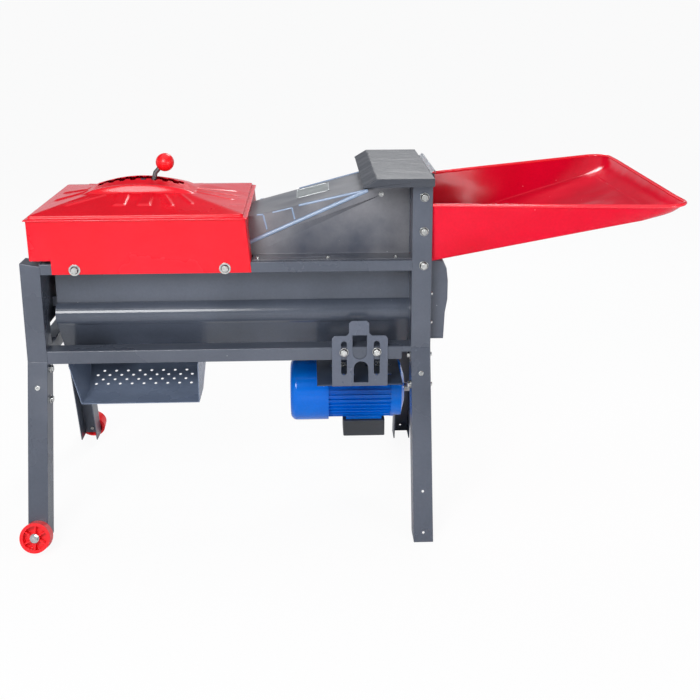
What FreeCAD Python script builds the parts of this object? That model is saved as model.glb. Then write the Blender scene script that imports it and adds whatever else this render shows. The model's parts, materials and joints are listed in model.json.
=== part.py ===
import FreeCAD, Part
import math
import os

os.makedirs("parts", exist_ok=True)
V = FreeCAD.Vector

# Driving sizes in millimetres. X runs along the machine from the cob end
# to the feed end, Y runs from the near side to the far side, Z is up.
frame_length = 1030.0
frame_depth = 440.0
lower_rail_z = 450.0
lower_rail_height = 34.0
upper_rail_z = 684.0
upper_rail_height = 28.0
rail_depth = 50.0
rail_wall = 3.0
rail_notch = 24.0
post_width = 50.0
post_flange = 60.0
post_wall = 3.0
post_slant = 9.0
short_post_top = 716.0
tall_post_top = 922.0
joint_left_z = 456.0
joint_right_z = 480.0
leg_splay = 139.0
connector_reach = 118.0
connector_wall = 2.5
front_bolt_down = 66.0
side_bolt_down = (18.0, 96.0)
bolt_tail = 6.0
sheet = 2.0
plate = 3.0
post_bolt_share = 0.42
post_bolt_shares = (0.78, 0.393)
tray_bolt_share = 0.55
rail_bolt_share = 0.6
foot_hole_shares = (0.77, 0.99)
notch_share = 0.8
connector_inset = 10.0
connector_low_share = 1.35
leg_end_share = 0.55

# Places that follow from the frame.
half_depth = frame_depth / 2
flange_edge = half_depth - post_flange
right_post_x = frame_length - post_width
lower_rail_top = lower_rail_z + lower_rail_height
upper_rail_top = upper_rail_z + upper_rail_height
cover_height = tall_post_top - upper_rail_top

# Rotor, casing and screen.
rotor_z = 600.0
shaft_radius = 15.0
running_gap = 0.05
drum_radius = 72.0
drum_left = 168.0
drum_end_gap = 30.0
drum_right = right_post_x - drum_end_gap
tooth_height = 24.0
tooth_length = 22.0
tooth_width = 12.0
tooth_rows = 4
teeth_in_row = 9
screen_radius = 110.0
screen_bar_radius = 5.0
screen_bars = 15
screen_ribs = 5
casing_y = 150.0
casing_left = 70.0
bead_radius = 30.0
bead_z = 563.0
casing_foot_y = 100.0
bearing_length = 32.0
bearing_radius = 34.0
bearing_lug = 14.0
shaft_tail = 6.0
bead_end_turn = 235.0
bead_steps = 14
screen_lead = 10.0
plate_bore_share = 1.3
pan_lap = 12.0
end_plate_low = 543.0
end_plate_rise = 23.0
lid_edge_z = upper_rail_top + end_plate_rise
sill_down = 3.0
sill_z = upper_rail_top - sill_down

# Lid.
lid_left = 26.0
lid_right = 565.0
lid_skirt_x = 79.0
lid_skirt_flare = 12.0
lid_overhang = 2.0
lid_half = half_depth + lid_overhang
lid_lean = 10.0
lid_notch_gap = 6.0
lid_notch_z = short_post_top + lid_notch_gap
lid_height = 116.0
lid_flange_z = upper_rail_top + lid_height
lid_bolt_left = 58.0
lid_bolt_right = 55.0
lid_flange_reach = 6.0
lid_step = 8.0
lid_inset = 7.0
crest_left = 158.0
crest_right = 398.0
crest_half = 60.0
roof_rise = 34.0
crest_foot_z = lid_flange_z + roof_rise
crest_edge_rise = 20.0
crest_edge_top = crest_foot_z + crest_edge_rise
crest_rise = 29.0
crest_top = crest_foot_z + crest_rise
slot_half = 8.0
slot_left = 165.0
slot_teeth = 9
slot_pitch = 25.0
tooth_depth = 9.0
tooth_share = 0.75

# Lever, link and cob gate.
lever_x = 275.0
pivot_down = 43.0
pivot_z = lid_flange_z - pivot_down
lever_rest = 20.0
lever_arm = 40.0
pivot_radius = 6.0
hub_radius = 11.0
stem_radius = 6.0
ball_radius = 24.0
gate_x = 95.0
gate_length = 105.0
gate_half = 70.0
gate_lag = 45.0
link_height = 14.0
link_thick = 4.0
pin_radius = 3.0
pin_tail = 2.0
hub_play = 1.0
hub_share = 0.8
stem_length = 98.0
stem_bends = ((8.0, 28.0), (14.0, 15.0), (12.0, 12.0))

# Feed cover, cap and curtain.
cover_half = 145.0
cover_eave_share = 0.15714
cover_eave_z = upper_rail_top + cover_height * cover_eave_share
cover_top_share = 0.44286
cover_top_z = upper_rail_top + cover_height * cover_top_share
cover_top_half = 103.0
cover_flat = 106.0
cover_break_x = right_post_x - cover_flat
cover_break_share = 0.8
cover_break_z = upper_rail_top + cover_height * cover_break_share
cover_end_share = 0.91429
cover_end_z = upper_rail_top + cover_height * cover_end_share
cover_foot_edge = 15.0
cover_foot = half_depth - cover_half - cover_foot_edge
cover_screw_run = 32.0
cover_screw_down = 12.0
foot_bolt_left = 25.0
foot_bolt_share = 0.489
foot_bolt_right = 40.0
name_left_share = 0.398
name_left = lid_right + (cover_break_x - lid_right) * name_left_share
name_length_share = 0.288
name_length = (cover_break_x - lid_right) * name_length_share
name_near = -25.0
name_width = 125.0
name_wall = 1.0
cap_overhang = 35.0
cap_half = half_depth + cap_overhang
cap_left_run = 125.0
cap_left = right_post_x - cap_left_run
cap_fold_run = 92.0
cap_fold_x = right_post_x - cap_fold_run
cap_left_down = 17.0
cap_left_z = tall_post_top - cap_left_down
cap_lip = 20.0
curtain_side_gap = 10.0
curtain_half = flange_edge - curtain_side_gap
curtain_share = 0.493
curtain_drop = (tall_post_top - sill_z) * curtain_share
curtain_down = 5.0
curtain_z = tall_post_top - curtain_down
curtain_reach = 5.0
curtain_rod_radius = 3.0
curtain_tube_share = 1.8
curtain_curl = ((1.0, 4.5), (2.5, 9.5), (5.0, 12.0), (8.0, 10.0), (8.5, 4.0))
lug_gap = 5.0
lug_back = 8.0
lug_front = 10.0

# Feed tray.
tray_reach = 594.0
tray_rim_inset = 8.0
tray_in_half = half_depth - tray_rim_inset
tray_rim_share = 0.69953
tray_in_rim = sill_z + (tall_post_top - sill_z) * tray_rim_share
tray_out_half = 384.0
tray_rim_rise = 29.0
tray_out_rim = tray_in_rim + tray_rim_rise
tray_floor_inset = 22.0
tray_floor_in_half = half_depth - tray_floor_inset
tray_floor_down = 6.0
tray_floor_in_z = sill_z - tray_floor_down
tray_side_flare = 59.0
tray_floor_out_half = tray_out_half - tray_side_flare
tray_lip_height = 49.0
tray_floor_out_z = tray_out_rim - tray_lip_height
tray_bolt_inset = 40.0
tray_wall_run = 52.0
rim_radius = 4.5

# Belt drive.
guard_reach = 47.0
guard_inset = 40.0
guard_half = half_depth - guard_inset
guard_low = 491.0
guard_high = 702.0
guard_flange = 22.0
guard_screw_low = 49.0
guard_screw_high = 85.0
guard_bow = ((9.0, 0.0), (6.0, 0.333), (0.0, 0.5), (0.0, 0.74), (4.0, 0.896), (14.0, 1.0))
pulley_reach = 6.0
pulley_x = frame_length + pulley_reach
pulley_width = 20.0
drum_pulley_radius = 85.0
motor_pulley_radius = 38.0
belt_height = 11.0
belt_width = 13.0
groove_side = 2.5

# Motor and cradle.
motor_z = 288.0
motor_run = 316.0
motor_left = right_post_x - motor_run
fan_cover_length = 105.0
fan_cover_radius = 87.0
body_length = 172.0
body_radius = 74.0
stator_share = 2.2
fin_half = 1.2
fin_root = 2.0
fin_height = 6.0
fin_count = 36
shield_length = 39.0
shield_radius = 78.0
nose_length = 10.0
nose_share = 0.55
boss_length = 12.0
boss_half = 8.0
boss_reach = 6.0
cover_edge = 18.0
grill_rings = 3
grill_first = 24.0
grill_step = 15.0
grill_count = 8
grill_more = 6
grill_hole = 4.0
fan_inset = 28.0
fan_hub = 22.0
fan_length = 40.0
fan_disc_at = 34.0
fan_disc_gap = 14.0
fan_blades = 8
blade_half = 1.5
motor_shaft_radius = 12.0
motor_foot_z = 378.0
foot_half = 70.0
foot_left_inset = 18.0
foot_right_inset = 16.0
foot_wall = 10.0
foot_reach = 18.0
foot_web_share = 0.55
motor_bolt_inset = 20.0
motor_bolt_y = 74.0
box_run = 146.0
box_left = motor_left + box_run
box_length = 116.0
box_down = 2.0
box_corner = 5.0
neck_inset = 8.0
neck_share = 0.7
box_height = 45.0
box_half = 44.0
shelf_left_run = 243.0
shelf_left = right_post_x - shelf_left_run
shelf_right_run = 20.0
shelf_right = right_post_x - shelf_right_run
shelf_wall = 4.0
shelf_slot_run = 30.0
shelf_slot_play = 1.0
spare_slot_y = 144.0
cradle_run = 60.0
cradle_right = right_post_x - cradle_run
cradle_width = 144.0
cradle_left = cradle_right - cradle_width
cradle_chamfer = 7.0
cradle_shoulder = 515.0
cradle_top = 555.0
neck_run = 44.0
neck_left = cradle_left + neck_run
neck_width = 52.0
neck_right = neck_left + neck_width
slot_low = 408.0
slot_high = 501.0
slot_width = 15.0
slot_one_run = 31.0
slot_one_x = cradle_left + slot_one_run
slot_two_run = 28.5
slot_two_x = cradle_right - slot_two_run
window_left_edge = 9.0
window_right_edge = 6.0
window_floor = 10.0
window_split_z = 427.0
window_bridge = 24.0
window_step = 3.0
window_wide = 1.0
cradle_bolt_z = 471.0
gland_radius = 11.0
gland_reach = 14.0
gland_share = 0.3
gland_nut_share = 0.75
gland_bore_share = 0.4

# Kernel chute and pans.
chute_left = 94.0
chute_lean = 30.0
chute_right = 430.0
chute_floor_z = 331.0
chute_lip_inset = 20.0
chute_lip_y = half_depth - chute_lip_inset
chute_fold_y = 100.0
chute_back_y = 135.0
hole_pitch = 32.0
hole_radius = 3.6
hole_rows = 4
holes_in_row = 9
hole_first_x = 140.0
row_first = 22.0
lip_cut = 14.0
slide_left = 18.0
slide_gap = 4.0

# Wheels.
wheel_radius = 38.0
wheel_width = 34.0
wheel_bolt_radius = 5.0
tyre_wall = 8.0
well_share = 0.55
back_share = 0.3
wheel_hub_share = 2.2
spoke_count = 6
spoke_half = 1.6
spoke_gap = 6.0
spoke_share = 0.1

# Fasteners and clearances.
bolt_radius = 5.0
bolt_head = 9.0
bolt_head_height = 6.5
washer_radius = 11.5
lid_washer_radius = 14.5
washer_wall = 2.0
small_bolt_radius = 3.0
small_head = 5.5
small_head_height = 4.0
hole_play = 0.3
part_gap = 0.3
overrun = 40.0

# Derived places.
overall_length = frame_length + tray_reach + rim_radius + wheel_radius - post_width / 2
origin_shift = wheel_radius - post_width / 2 - overall_length / 2


def box(x0, x1, y0, y1, z0, z1):
    return Part.makeBox(x1 - x0, y1 - y0, z1 - z0, V(x0, y0, z0))


def rod(a, b, radius):
    start = V(*a)
    run = V(*b) - start
    return Part.makeCylinder(radius, run.Length, start, run)


def ball(p, radius):
    return Part.makeSphere(radius, V(*p))


def wire_at(points, axis, at):
    if axis == "x":
        seq = [V(at, p[0], p[1]) for p in points]
    elif axis == "y":
        seq = [V(p[0], at, p[1]) for p in points]
    else:
        seq = [V(p[0], p[1], at) for p in points]
    return Part.makePolygon(seq + [seq[0]])


def prism(points, axis, start, end):
    face = Part.Face(wire_at(points, axis, start))
    run = end - start
    step = {"x": V(run, 0, 0), "y": V(0, run, 0), "z": V(0, 0, run)}[axis]
    return face.extrude(step)


def fuse(shapes):
    first = shapes[0]
    if len(shapes) == 1:
        return first
    return first.multiFuse(shapes[1:]).removeSplitter()


def cut(shape, tools):
    return shape.cut(tools) if tools else shape


def far(shape):
    return shape.mirror(V(0, 0, 0), V(0, 1, 0))


def both(shape):
    return [shape, far(shape)]


def solid_of(faces):
    made = [Part.Face(Part.makePolygon([V(*p) for p in f] + [V(*f[0])])) for f in faces]
    solid = Part.Solid(Part.Shell(made))
    if solid.Volume < 0:
        solid.reverse()
    return solid


def loft(sections):
    pieces = []
    for a, b in zip(sections, sections[1:]):
        pieces.append(Part.makeLoft([a, b], True, True))
    return fuse(pieces)


def strip(points, wall):
    # A bent sheet seen from its edge: the line of points and the same line
    # moved sideways by the wall.
    count = len(points)
    back = []
    for i in range(count):
        a = points[max(i - 1, 0)]
        b = points[i]
        c = points[min(i + 1, count - 1)]
        n1 = normal(a, b) if i > 0 else normal(b, c)
        n2 = normal(b, c) if i < count - 1 else n1
        mid = (n1[0] + n2[0], n1[1] + n2[1])
        scale = wall / (1 + n1[0] * n2[0] + n1[1] * n2[1])
        back.append((b[0] + mid[0] * scale, b[1] + mid[1] * scale))
    return points + back[::-1]


def normal(a, b):
    run = math.hypot(b[0] - a[0], b[1] - a[1])
    return ((b[1] - a[1]) / run, (a[0] - b[0]) / run)


def arc_points(centre, radius, start, end, steps):
    out = []
    for i in range(steps + 1):
        turn = math.radians(start + (end - start) * i / steps)
        out.append((centre[0] + radius * math.cos(turn), centre[1] + radius * math.sin(turn)))
    return out


def hex_head(p, out, size, height):
    # Six-sided head standing on point p along the direction out.
    helper = V(0, 0, 1) if abs(out.z) < abs(out.x) + abs(out.y) else V(1, 0, 0)
    across = out.cross(helper).normalize()
    side = across.cross(out)
    seq = []
    for i in range(6):
        turn = math.radians(60 * i)
        seq.append(p + side * (size * math.cos(turn)) + across * (size * math.sin(turn)))
    face = Part.Face(Part.makePolygon(seq + [seq[0]]))
    return face.extrude(out * height)


def bolt(p, out, radius, head, head_height, washer, wall, depth):
    # One bolt with its washer on the surface at p, its shank going inwards.
    point = V(*p)
    way = V(*out)
    seat = point + way * wall
    pieces = [Part.makeCylinder(radius, depth + wall, seat - way * (depth + wall), way)]
    pieces.append(Part.makeCylinder(washer, wall, point, way))
    pieces.append(hex_head(seat, way, head, head_height))
    return fuse(pieces)


def frame_bolt(p, out, depth):
    return bolt(p, out, bolt_radius, bolt_head, bolt_head_height, washer_radius, washer_wall, depth)


def small_bolt(p, out, depth):
    wall = washer_wall / 2
    return bolt(p, out, small_bolt_radius, small_head, small_head_height, small_head + wall, wall, depth)


def hole(p, out, radius, depth):
    way = V(*out)
    start = V(*p) - way * depth
    return Part.makeCylinder(radius + hole_play, depth + overrun / 4, start, way)


def channel(x0, x1, y_web, flange, wall, z0, z1):
    # Near-side channel: web towards the viewer, flanges running inwards.
    outer = box(x0, x1, y_web, y_web + flange, z0, z1)
    inner = box(x0 + wall, x1 - wall, y_web + wall, y_web + flange + overrun, z0 - overrun, z1 + overrun)
    return outer.cut(inner)


def save(name, shape):
    shape.translate(V(origin_shift, 0, 0))
    shape.exportStep("parts/" + name + ".step")


def save_pair(near_name, far_name, near_shape):
    other = far(near_shape)
    save(near_name, near_shape)
    save(far_name, other)


NEAR = (0, -1, 0)
FAR = (0, 1, 0)
UP = (0, 0, 1)
RIGHT = (1, 0, 0)
LEFT = (-1, 0, 0)

# Corner posts: bent channel with the web outwards. The short ones at the
# cob end are closed by a slanted top plate.
post_bolt_x = frame_length - post_width * post_bolt_share
rail_mid_z = upper_rail_z + upper_rail_height / 2
post_bolt_zs = [rail_mid_z + (tall_post_top - rail_mid_z) * share for share in post_bolt_shares]
post_bolt_zs.append(rail_mid_z)
post_holes = [hole((post_bolt_x, -half_depth, z), NEAR, bolt_radius, post_flange / 2) for z in post_bolt_zs]
post_shape = (-half_depth, post_flange, post_wall)
tall_post = channel(right_post_x, frame_length, *post_shape, joint_right_z, tall_post_top)
tray_bolt_y = -half_depth + post_flange * tray_bolt_share
tray_bolt_zs = [tray_in_rim - tray_bolt_inset, sill_z + tray_bolt_inset]
guard_screw_y = -guard_half - guard_flange / 2
guard_screw_zs = [guard_low + guard_screw_low, guard_high - guard_screw_high]
end_face = frame_length + sheet
screw_reach = post_wall * 3
tray_holes = [hole((end_face, tray_bolt_y, z), RIGHT, small_bolt_radius, screw_reach) for z in tray_bolt_zs]
guard_holes = []
for z in guard_screw_zs:
    guard_holes.append(hole((end_face, guard_screw_y, z), RIGHT, small_bolt_radius, screw_reach))
tall_post = cut(tall_post, post_holes + tray_holes + guard_holes)

short_body = channel(0, post_width, *post_shape, joint_left_z, short_post_top)
slant = [(0, short_post_top - post_wall), (0, short_post_top), (post_width, short_post_top - post_slant)]
slant.append((post_width, short_post_top - post_slant - post_wall))
top_plate = prism(slant, "y", -half_depth, -flange_edge)
slant_more = post_slant * overrun / post_width
above = [(-overrun, short_post_top + overrun), (-overrun, short_post_top + slant_more)]
above.append((post_width + overrun, short_post_top - post_slant - slant_more))
above.append((post_width + overrun, short_post_top + overrun))
short_post = fuse([short_body.cut(prism(above, "y", -half_depth - overrun, 0)), top_plate])

# Legs: the same channel, splayed outwards about the joint line.
tilt_right = math.degrees(math.atan2(leg_splay, joint_right_z))
tilt_left = math.degrees(math.atan2(leg_splay, joint_left_z))
axle_z = wheel_radius * math.cos(math.radians(tilt_left))


def splayed(shape, joint_z, tilt):
    shape.rotate(V(0, -half_depth, joint_z), V(1, 0, 0), -tilt)
    return shape


def leg(x0, joint_z, tilt, end_z):
    long_leg = channel(x0, x0 + post_width, -half_depth, post_flange, post_wall, -joint_z, joint_z + overrun)
    bent = splayed(long_leg, joint_z, tilt)
    slab = box(x0 - overrun, x0 + post_width + overrun, -frame_depth * 2, -flange_edge, end_z, joint_z)
    return bent.common(slab)


def leg_point(along, joint_z, tilt, lift):
    # Point on the outer face of a near leg, a distance down from the joint.
    turn = math.radians(tilt)
    y = -half_depth - along * math.sin(turn) - lift * math.cos(turn)
    z = joint_z - along * math.cos(turn) + lift * math.sin(turn)
    return y, z


def leg_out(tilt):
    turn = math.radians(tilt)
    return (0, -math.cos(turn), math.sin(turn))


def leg_bolts(x0, joint_z, tilt, inner_out):
    mid = x0 + post_width / 2
    y, z = leg_point(front_bolt_down, joint_z, tilt, 0)
    made = [small_bolt((mid, y, z), leg_out(tilt), post_wall * 3)]
    holes = [hole((mid, y, z), leg_out(tilt), small_bolt_radius, post_wall * 4)]
    edge = x0 + post_width if inner_out[0] > 0 else x0
    for down in side_bolt_down:
        y, z = leg_point(down, joint_z, tilt, -post_flange / 2)
        made.append(frame_bolt((edge, y, z), inner_out, post_width + bolt_tail))
        holes.append(hole((edge, y, z), inner_out, bolt_radius, post_width + overrun / 4))
    return made, holes


left_bolts, left_holes = leg_bolts(0, joint_left_z, tilt_left, RIGHT)
right_bolts, right_holes = leg_bolts(right_post_x, joint_right_z, tilt_right, LEFT)

axle_y = -half_depth - (joint_left_z - axle_z) * math.tan(math.radians(tilt_left))
axle = (post_width / 2, axle_y, axle_z)
axle_out = leg_out(tilt_left)
axle_hole = hole(axle, axle_out, wheel_bolt_radius, post_wall * 4)

left_leg_end = axle_z - wheel_radius * leg_end_share
left_leg = cut(leg(0, joint_left_z, tilt_left, left_leg_end), left_holes + [axle_hole])
right_leg = leg(right_post_x, joint_right_z, tilt_right, 0)
foot_holes = []
for share in foot_hole_shares:
    y, z = leg_point(joint_right_z * share, joint_right_z, tilt_right, 0)
    foot_place = (right_post_x + post_width / 2, y, z)
    foot_holes.append(hole(foot_place, leg_out(tilt_right), small_bolt_radius, post_wall * 4))
right_leg = cut(right_leg, right_holes + foot_holes)


def connector(x0, joint_z, tilt, holes):
    # Bent inner channel that joins a post to its leg.
    reach = connector_reach
    left = x0 + post_wall
    right = x0 + post_width - post_wall
    web = -half_depth + post_wall
    deep = post_flange - post_wall - connector_inset
    upper = channel(left, right, web, deep, connector_wall, joint_z, joint_z + reach)
    lower = channel(left, right, web, deep, connector_wall, joint_z - reach - overrun, joint_z + overrun)
    lower = splayed(lower, joint_z, tilt)
    low = joint_z - reach * connector_low_share
    slab = box(left - overrun, right + overrun, -frame_depth * 2, frame_depth, low, joint_z)
    return cut(fuse([upper, lower.common(slab)]), holes)


joint_left = connector(0, joint_left_z, tilt_left, left_holes)
joint_right = connector(right_post_x, joint_right_z, tilt_right, right_holes)

save_pair("near_left_post", "far_left_post", short_post)
save_pair("near_right_post", "far_right_post", tall_post)
save_pair("near_left_leg", "far_left_leg", left_leg)
save_pair("near_right_leg", "far_right_leg", right_leg)
save("leg_connectors", Part.makeCompound(both(joint_left) + both(joint_right)))
all_leg_bolts = [far(b) for b in left_bolts + right_bolts] + left_bolts + right_bolts
save("leg_bolts", Part.makeCompound(all_leg_bolts))

# Rails between the posts: folded channels, open inwards.
cradle_xs = (slot_one_x, slot_two_x)
cradle_holes = [hole((x, -half_depth, cradle_bolt_z), NEAR, bolt_radius, rail_wall * 3) for x in cradle_xs]


def rail(z0, height):
    y0 = -half_depth
    outer = box(post_width, right_post_x, y0, y0 + rail_depth, z0, z0 + height)
    hollow = box(0, frame_length, y0 + rail_wall, 0, z0 + rail_wall, z0 + height - rail_wall)
    return outer.cut(hollow)


rail_bolt_y = -half_depth + rail_depth * rail_bolt_share
rail_bolt_xs = [lid_right + foot_bolt_left, lid_right + (right_post_x - lid_right) * foot_bolt_share]
rail_bolt_xs.append(right_post_x - foot_bolt_right)
rail_grip = rail_wall * 3
rail_holes = [hole((x, rail_bolt_y, upper_rail_top), UP, small_bolt_radius, rail_grip) for x in rail_bolt_xs]
lid_bolt_xs = [lid_skirt_x + lid_bolt_left, lid_right - lid_bolt_right]
lid_bolt_z = rail_mid_z
lid_holes = [hole((x, -lid_half, lid_bolt_z), NEAR, bolt_radius, rail_wall * 4) for x in lid_bolt_xs]
notch_top = lower_rail_z + rail_notch * notch_share
bolt_notch = box(right_post_x - rail_notch, right_post_x, -half_depth, -flange_edge, 0, notch_top)
lower_rail = cut(rail(lower_rail_z, lower_rail_height), cradle_holes + [bolt_notch])
upper_rail = cut(rail(upper_rail_z, upper_rail_height), rail_holes + lid_holes)
save_pair("near_lower_rail", "far_lower_rail", lower_rail)
save_pair("near_upper_rail", "far_upper_rail", upper_rail)


def cross_rail(x0, x1):
    outer = box(x0, x1, -flange_edge, flange_edge, lower_rail_z, lower_rail_top)
    hollow_low = lower_rail_z - overrun
    hollow_top = lower_rail_top - rail_wall
    hollow = box(x0 + rail_wall, x1 - rail_wall, -frame_depth, frame_depth, hollow_low, hollow_top)
    return outer.cut(hollow)


end_rails = [cross_rail(post_wall * 3, post_width), cross_rail(right_post_x, frame_length - post_wall * 3)]
save("cross_rails", Part.makeCompound(end_rails))

# End plates that carry the rotor bearings.
bearing_bolt_reach = bearing_radius + bearing_lug


def bearing_points(x):
    return [(x, -bearing_bolt_reach, rotor_z), (x, bearing_bolt_reach, rotor_z)]


def end_plate(x0, low, high, out_x, out):
    blank = box(x0, x0 + plate, -flange_edge, flange_edge, low, high)
    bore = shaft_radius * plate_bore_share
    tools = [rod((x0 - overrun, 0, rotor_z), (x0 + overrun, 0, rotor_z), bore)]
    tools += [hole(p, out, bolt_radius, plate * 3) for p in bearing_points(out_x)]
    return cut(blank, tools)


left_plate_x = post_width - plate
save("left_end_plate", end_plate(left_plate_x, end_plate_low, lid_edge_z, left_plate_x, LEFT))
save("right_end_plate", end_plate(right_post_x, lower_rail_top, sill_z, right_post_x + plate, RIGHT))

# Casing panels: flat top, half-round bead, lower part running inwards.
casing_right = right_post_x
top_lie = upper_rail_top - rail_wall
bead_arc = arc_points((-casing_y + sheet, bead_z), bead_radius, 90, bead_end_turn, bead_steps)
line = [(-half_depth + rail_wall * 3, top_lie), (-casing_y, top_lie), (-casing_y, bead_z + bead_radius)]
line += bead_arc[1:] + [(-casing_foot_y, lower_rail_z)]
casing = prism(strip(line, sheet), "x", casing_left, casing_right)
casing = casing.common(box(0, frame_length, -frame_depth, 0, lower_rail_z, tall_post_top))
casing_holes = []
for x in rail_bolt_xs:
    casing_holes.append(hole((x, rail_bolt_y, upper_rail_top), UP, small_bolt_radius, rail_wall * 4))
save_pair("near_casing_panel", "far_casing_panel", cut(casing, casing_holes))

# Concave screen under the drum: ribs, bars and two side bars.
rib_wall = 4.0
rib_high = 12.0
side_bar = 25.0
screen = []
screen_left = drum_left - screen_lead
for i in range(screen_ribs):
    x = screen_left + (drum_right - screen_left) * i / (screen_ribs - 1)
    start = (x, 0, rotor_z)
    whole = Part.makeCylinder(screen_radius + rib_high, rib_wall, V(*start), V(1, 0, 0))
    core = Part.makeCylinder(screen_radius, rib_wall, V(*start), V(1, 0, 0))
    keep = box(x, x + rib_wall, -frame_depth, frame_depth, 0, rotor_z)
    screen.append(whole.cut(core).common(keep))
for i in range(screen_bars):
    turn = math.radians(180 + 180 * (i + 0.5) / screen_bars)
    reach = screen_radius + rib_high / 2
    y = reach * math.cos(turn)
    z = rotor_z + reach * math.sin(turn)
    screen.append(rod((screen_left, y, z), (drum_right + rib_wall, y, z), screen_bar_radius))
for side in (-1, 1):
    y0 = side * (screen_radius + rib_high / 2) - rib_wall / 2
    screen.append(box(post_width, right_post_x, y0, y0 + rib_wall, rotor_z - side_bar, rotor_z))
save("concave_screen", fuse(screen))

# Grain pan: flat plate that closes the casing foot beside the chute.
pan_half = casing_foot_y + pan_lap
save("grain_pan", box(chute_right, right_post_x, -pan_half, pan_half, lower_rail_z - sheet, lower_rail_z))

# Rotor: drum shell with end discs, rows of pegs, shaft.
drum_wall = 3.0
outer = rod((drum_left, 0, rotor_z), (drum_right, 0, rotor_z), drum_radius)
hollow = rod((drum_left + plate, 0, rotor_z), (drum_right - plate, 0, rotor_z), drum_radius - drum_wall)
bore = rod((drum_left, 0, rotor_z), (drum_right, 0, rotor_z), shaft_radius)
save("drum", outer.cut([hollow, bore]))
teeth = []
lead_in = 30.0
step = (drum_right - drum_left - lead_in * 2) / teeth_in_row
for r in range(tooth_rows):
    for k in range(teeth_in_row):
        x = drum_left + lead_in + step * (k + (r + 0.5) / tooth_rows)
        long_half = tooth_length / 2
        wide_half = tooth_width / 2
        peg = box(x - long_half, x + long_half, -wide_half, wide_half, 0, drum_radius + tooth_height)
        peg.translate(V(0, 0, rotor_z))
        peg.rotate(V(0, 0, rotor_z), V(1, 0, 0), 360.0 * r / tooth_rows)
        teeth.append(peg.cut(outer))
save("drum_pegs", Part.makeCompound(teeth))
shaft_left = post_width - plate - bearing_length - shaft_tail
shaft_end = pulley_x + pulley_width / 2 + shaft_tail
save("rotor_shaft", rod((shaft_left, 0, rotor_z), (shaft_end, 0, rotor_z), shaft_radius))


def bearing(x0, x1, flange_x, way):
    flange = 8.0
    body = rod((x0, 0, rotor_z), (x1, 0, rotor_z), bearing_radius)
    lug = bearing_bolt_reach + washer_radius
    pad_half = bearing_radius / 2
    pad = box(flange_x, flange_x + flange, -lug, lug, rotor_z - pad_half, rotor_z + pad_half)
    if way[0] < 0:
        pad.translate(V(-flange, 0, 0))
    bore_run = rod((x0 - overrun, 0, rotor_z), (x1 + overrun, 0, rotor_z), shaft_radius + running_gap)
    seat = flange_x + way[0] * flange
    holes = [hole((seat, p[1], p[2]), way, bolt_radius, flange * 2) for p in bearing_points(seat)]
    bolts = [frame_bolt((seat, p[1], p[2]), way, flange + plate) for p in bearing_points(seat)]
    return fuse([body, pad]).cut([bore_run] + holes), bolts


left_bearing, left_set = bearing(left_plate_x - bearing_length, left_plate_x, left_plate_x, LEFT)
right_face = right_post_x + plate
right_bearing, right_set = bearing(right_face, right_face + bearing_length, right_face, RIGHT)
save("rotor_bearings", Part.makeCompound([left_bearing, right_bearing]))
big_bolts = left_set + right_set


# Pulleys and V-belt.
def pulley(z, radius, shaft):
    x0 = pulley_x - pulley_width / 2
    x1 = pulley_x + pulley_width / 2
    blank = rod((x0, 0, z), (x1, 0, z), radius)
    half = belt_width / 2
    low = half - groove_side
    root = radius - belt_height
    profile = [(pulley_x - half, radius + overrun), (pulley_x - half, radius), (pulley_x - low, root)]
    profile += [(pulley_x + low, root), (pulley_x + half, radius), (pulley_x + half, radius + overrun)]
    seq = [V(p[0], 0, z + p[1]) for p in profile]
    ring = Part.Face(Part.makePolygon(seq + [seq[0]])).revolve(V(0, 0, z), V(1, 0, 0), 360)
    core = rod((x0, 0, z), (x1, 0, z), shaft)
    return blank.cut([ring, core])


def belt_section(z, radius, turn):
    half = belt_width / 2
    low = half - groove_side
    inner = radius - belt_height
    seq = []
    for x, reach in ((-low, inner), (-half, radius), (half, radius), (low, inner)):
        y = reach * math.cos(turn)
        seq.append(V(pulley_x + x, y, z + reach * math.sin(turn)))
    return seq


def belt():
    distance = rotor_z - motor_z
    lean = math.asin((drum_pulley_radius - motor_pulley_radius) / distance)
    pieces = []
    turns = [(rotor_z, drum_pulley_radius, -lean, math.pi + 2 * lean)]
    turns.append((motor_z, motor_pulley_radius, math.pi + lean, math.pi - 2 * lean))
    for z, radius, start, sweep in turns:
        seq = belt_section(z, radius, start)
        face = Part.Face(Part.makePolygon(seq + [seq[0]]))
        pieces.append(face.revolve(V(0, 0, z), V(1, 0, 0), math.degrees(sweep)))
    for turn in (-lean, math.pi + lean):
        top = belt_section(rotor_z, drum_pulley_radius, turn)
        low = belt_section(motor_z, motor_pulley_radius, turn)
        a = Part.makePolygon(top + [top[0]])
        b = Part.makePolygon(low + [low[0]])
        pieces.append(Part.makeLoft([a, b], True, True))
    return fuse(pieces)


save("drum_pulley", pulley(rotor_z, drum_pulley_radius, shaft_radius))
save("motor_pulley", pulley(motor_z, motor_pulley_radius, motor_shaft_radius))
save("v_belt", belt())

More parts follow.
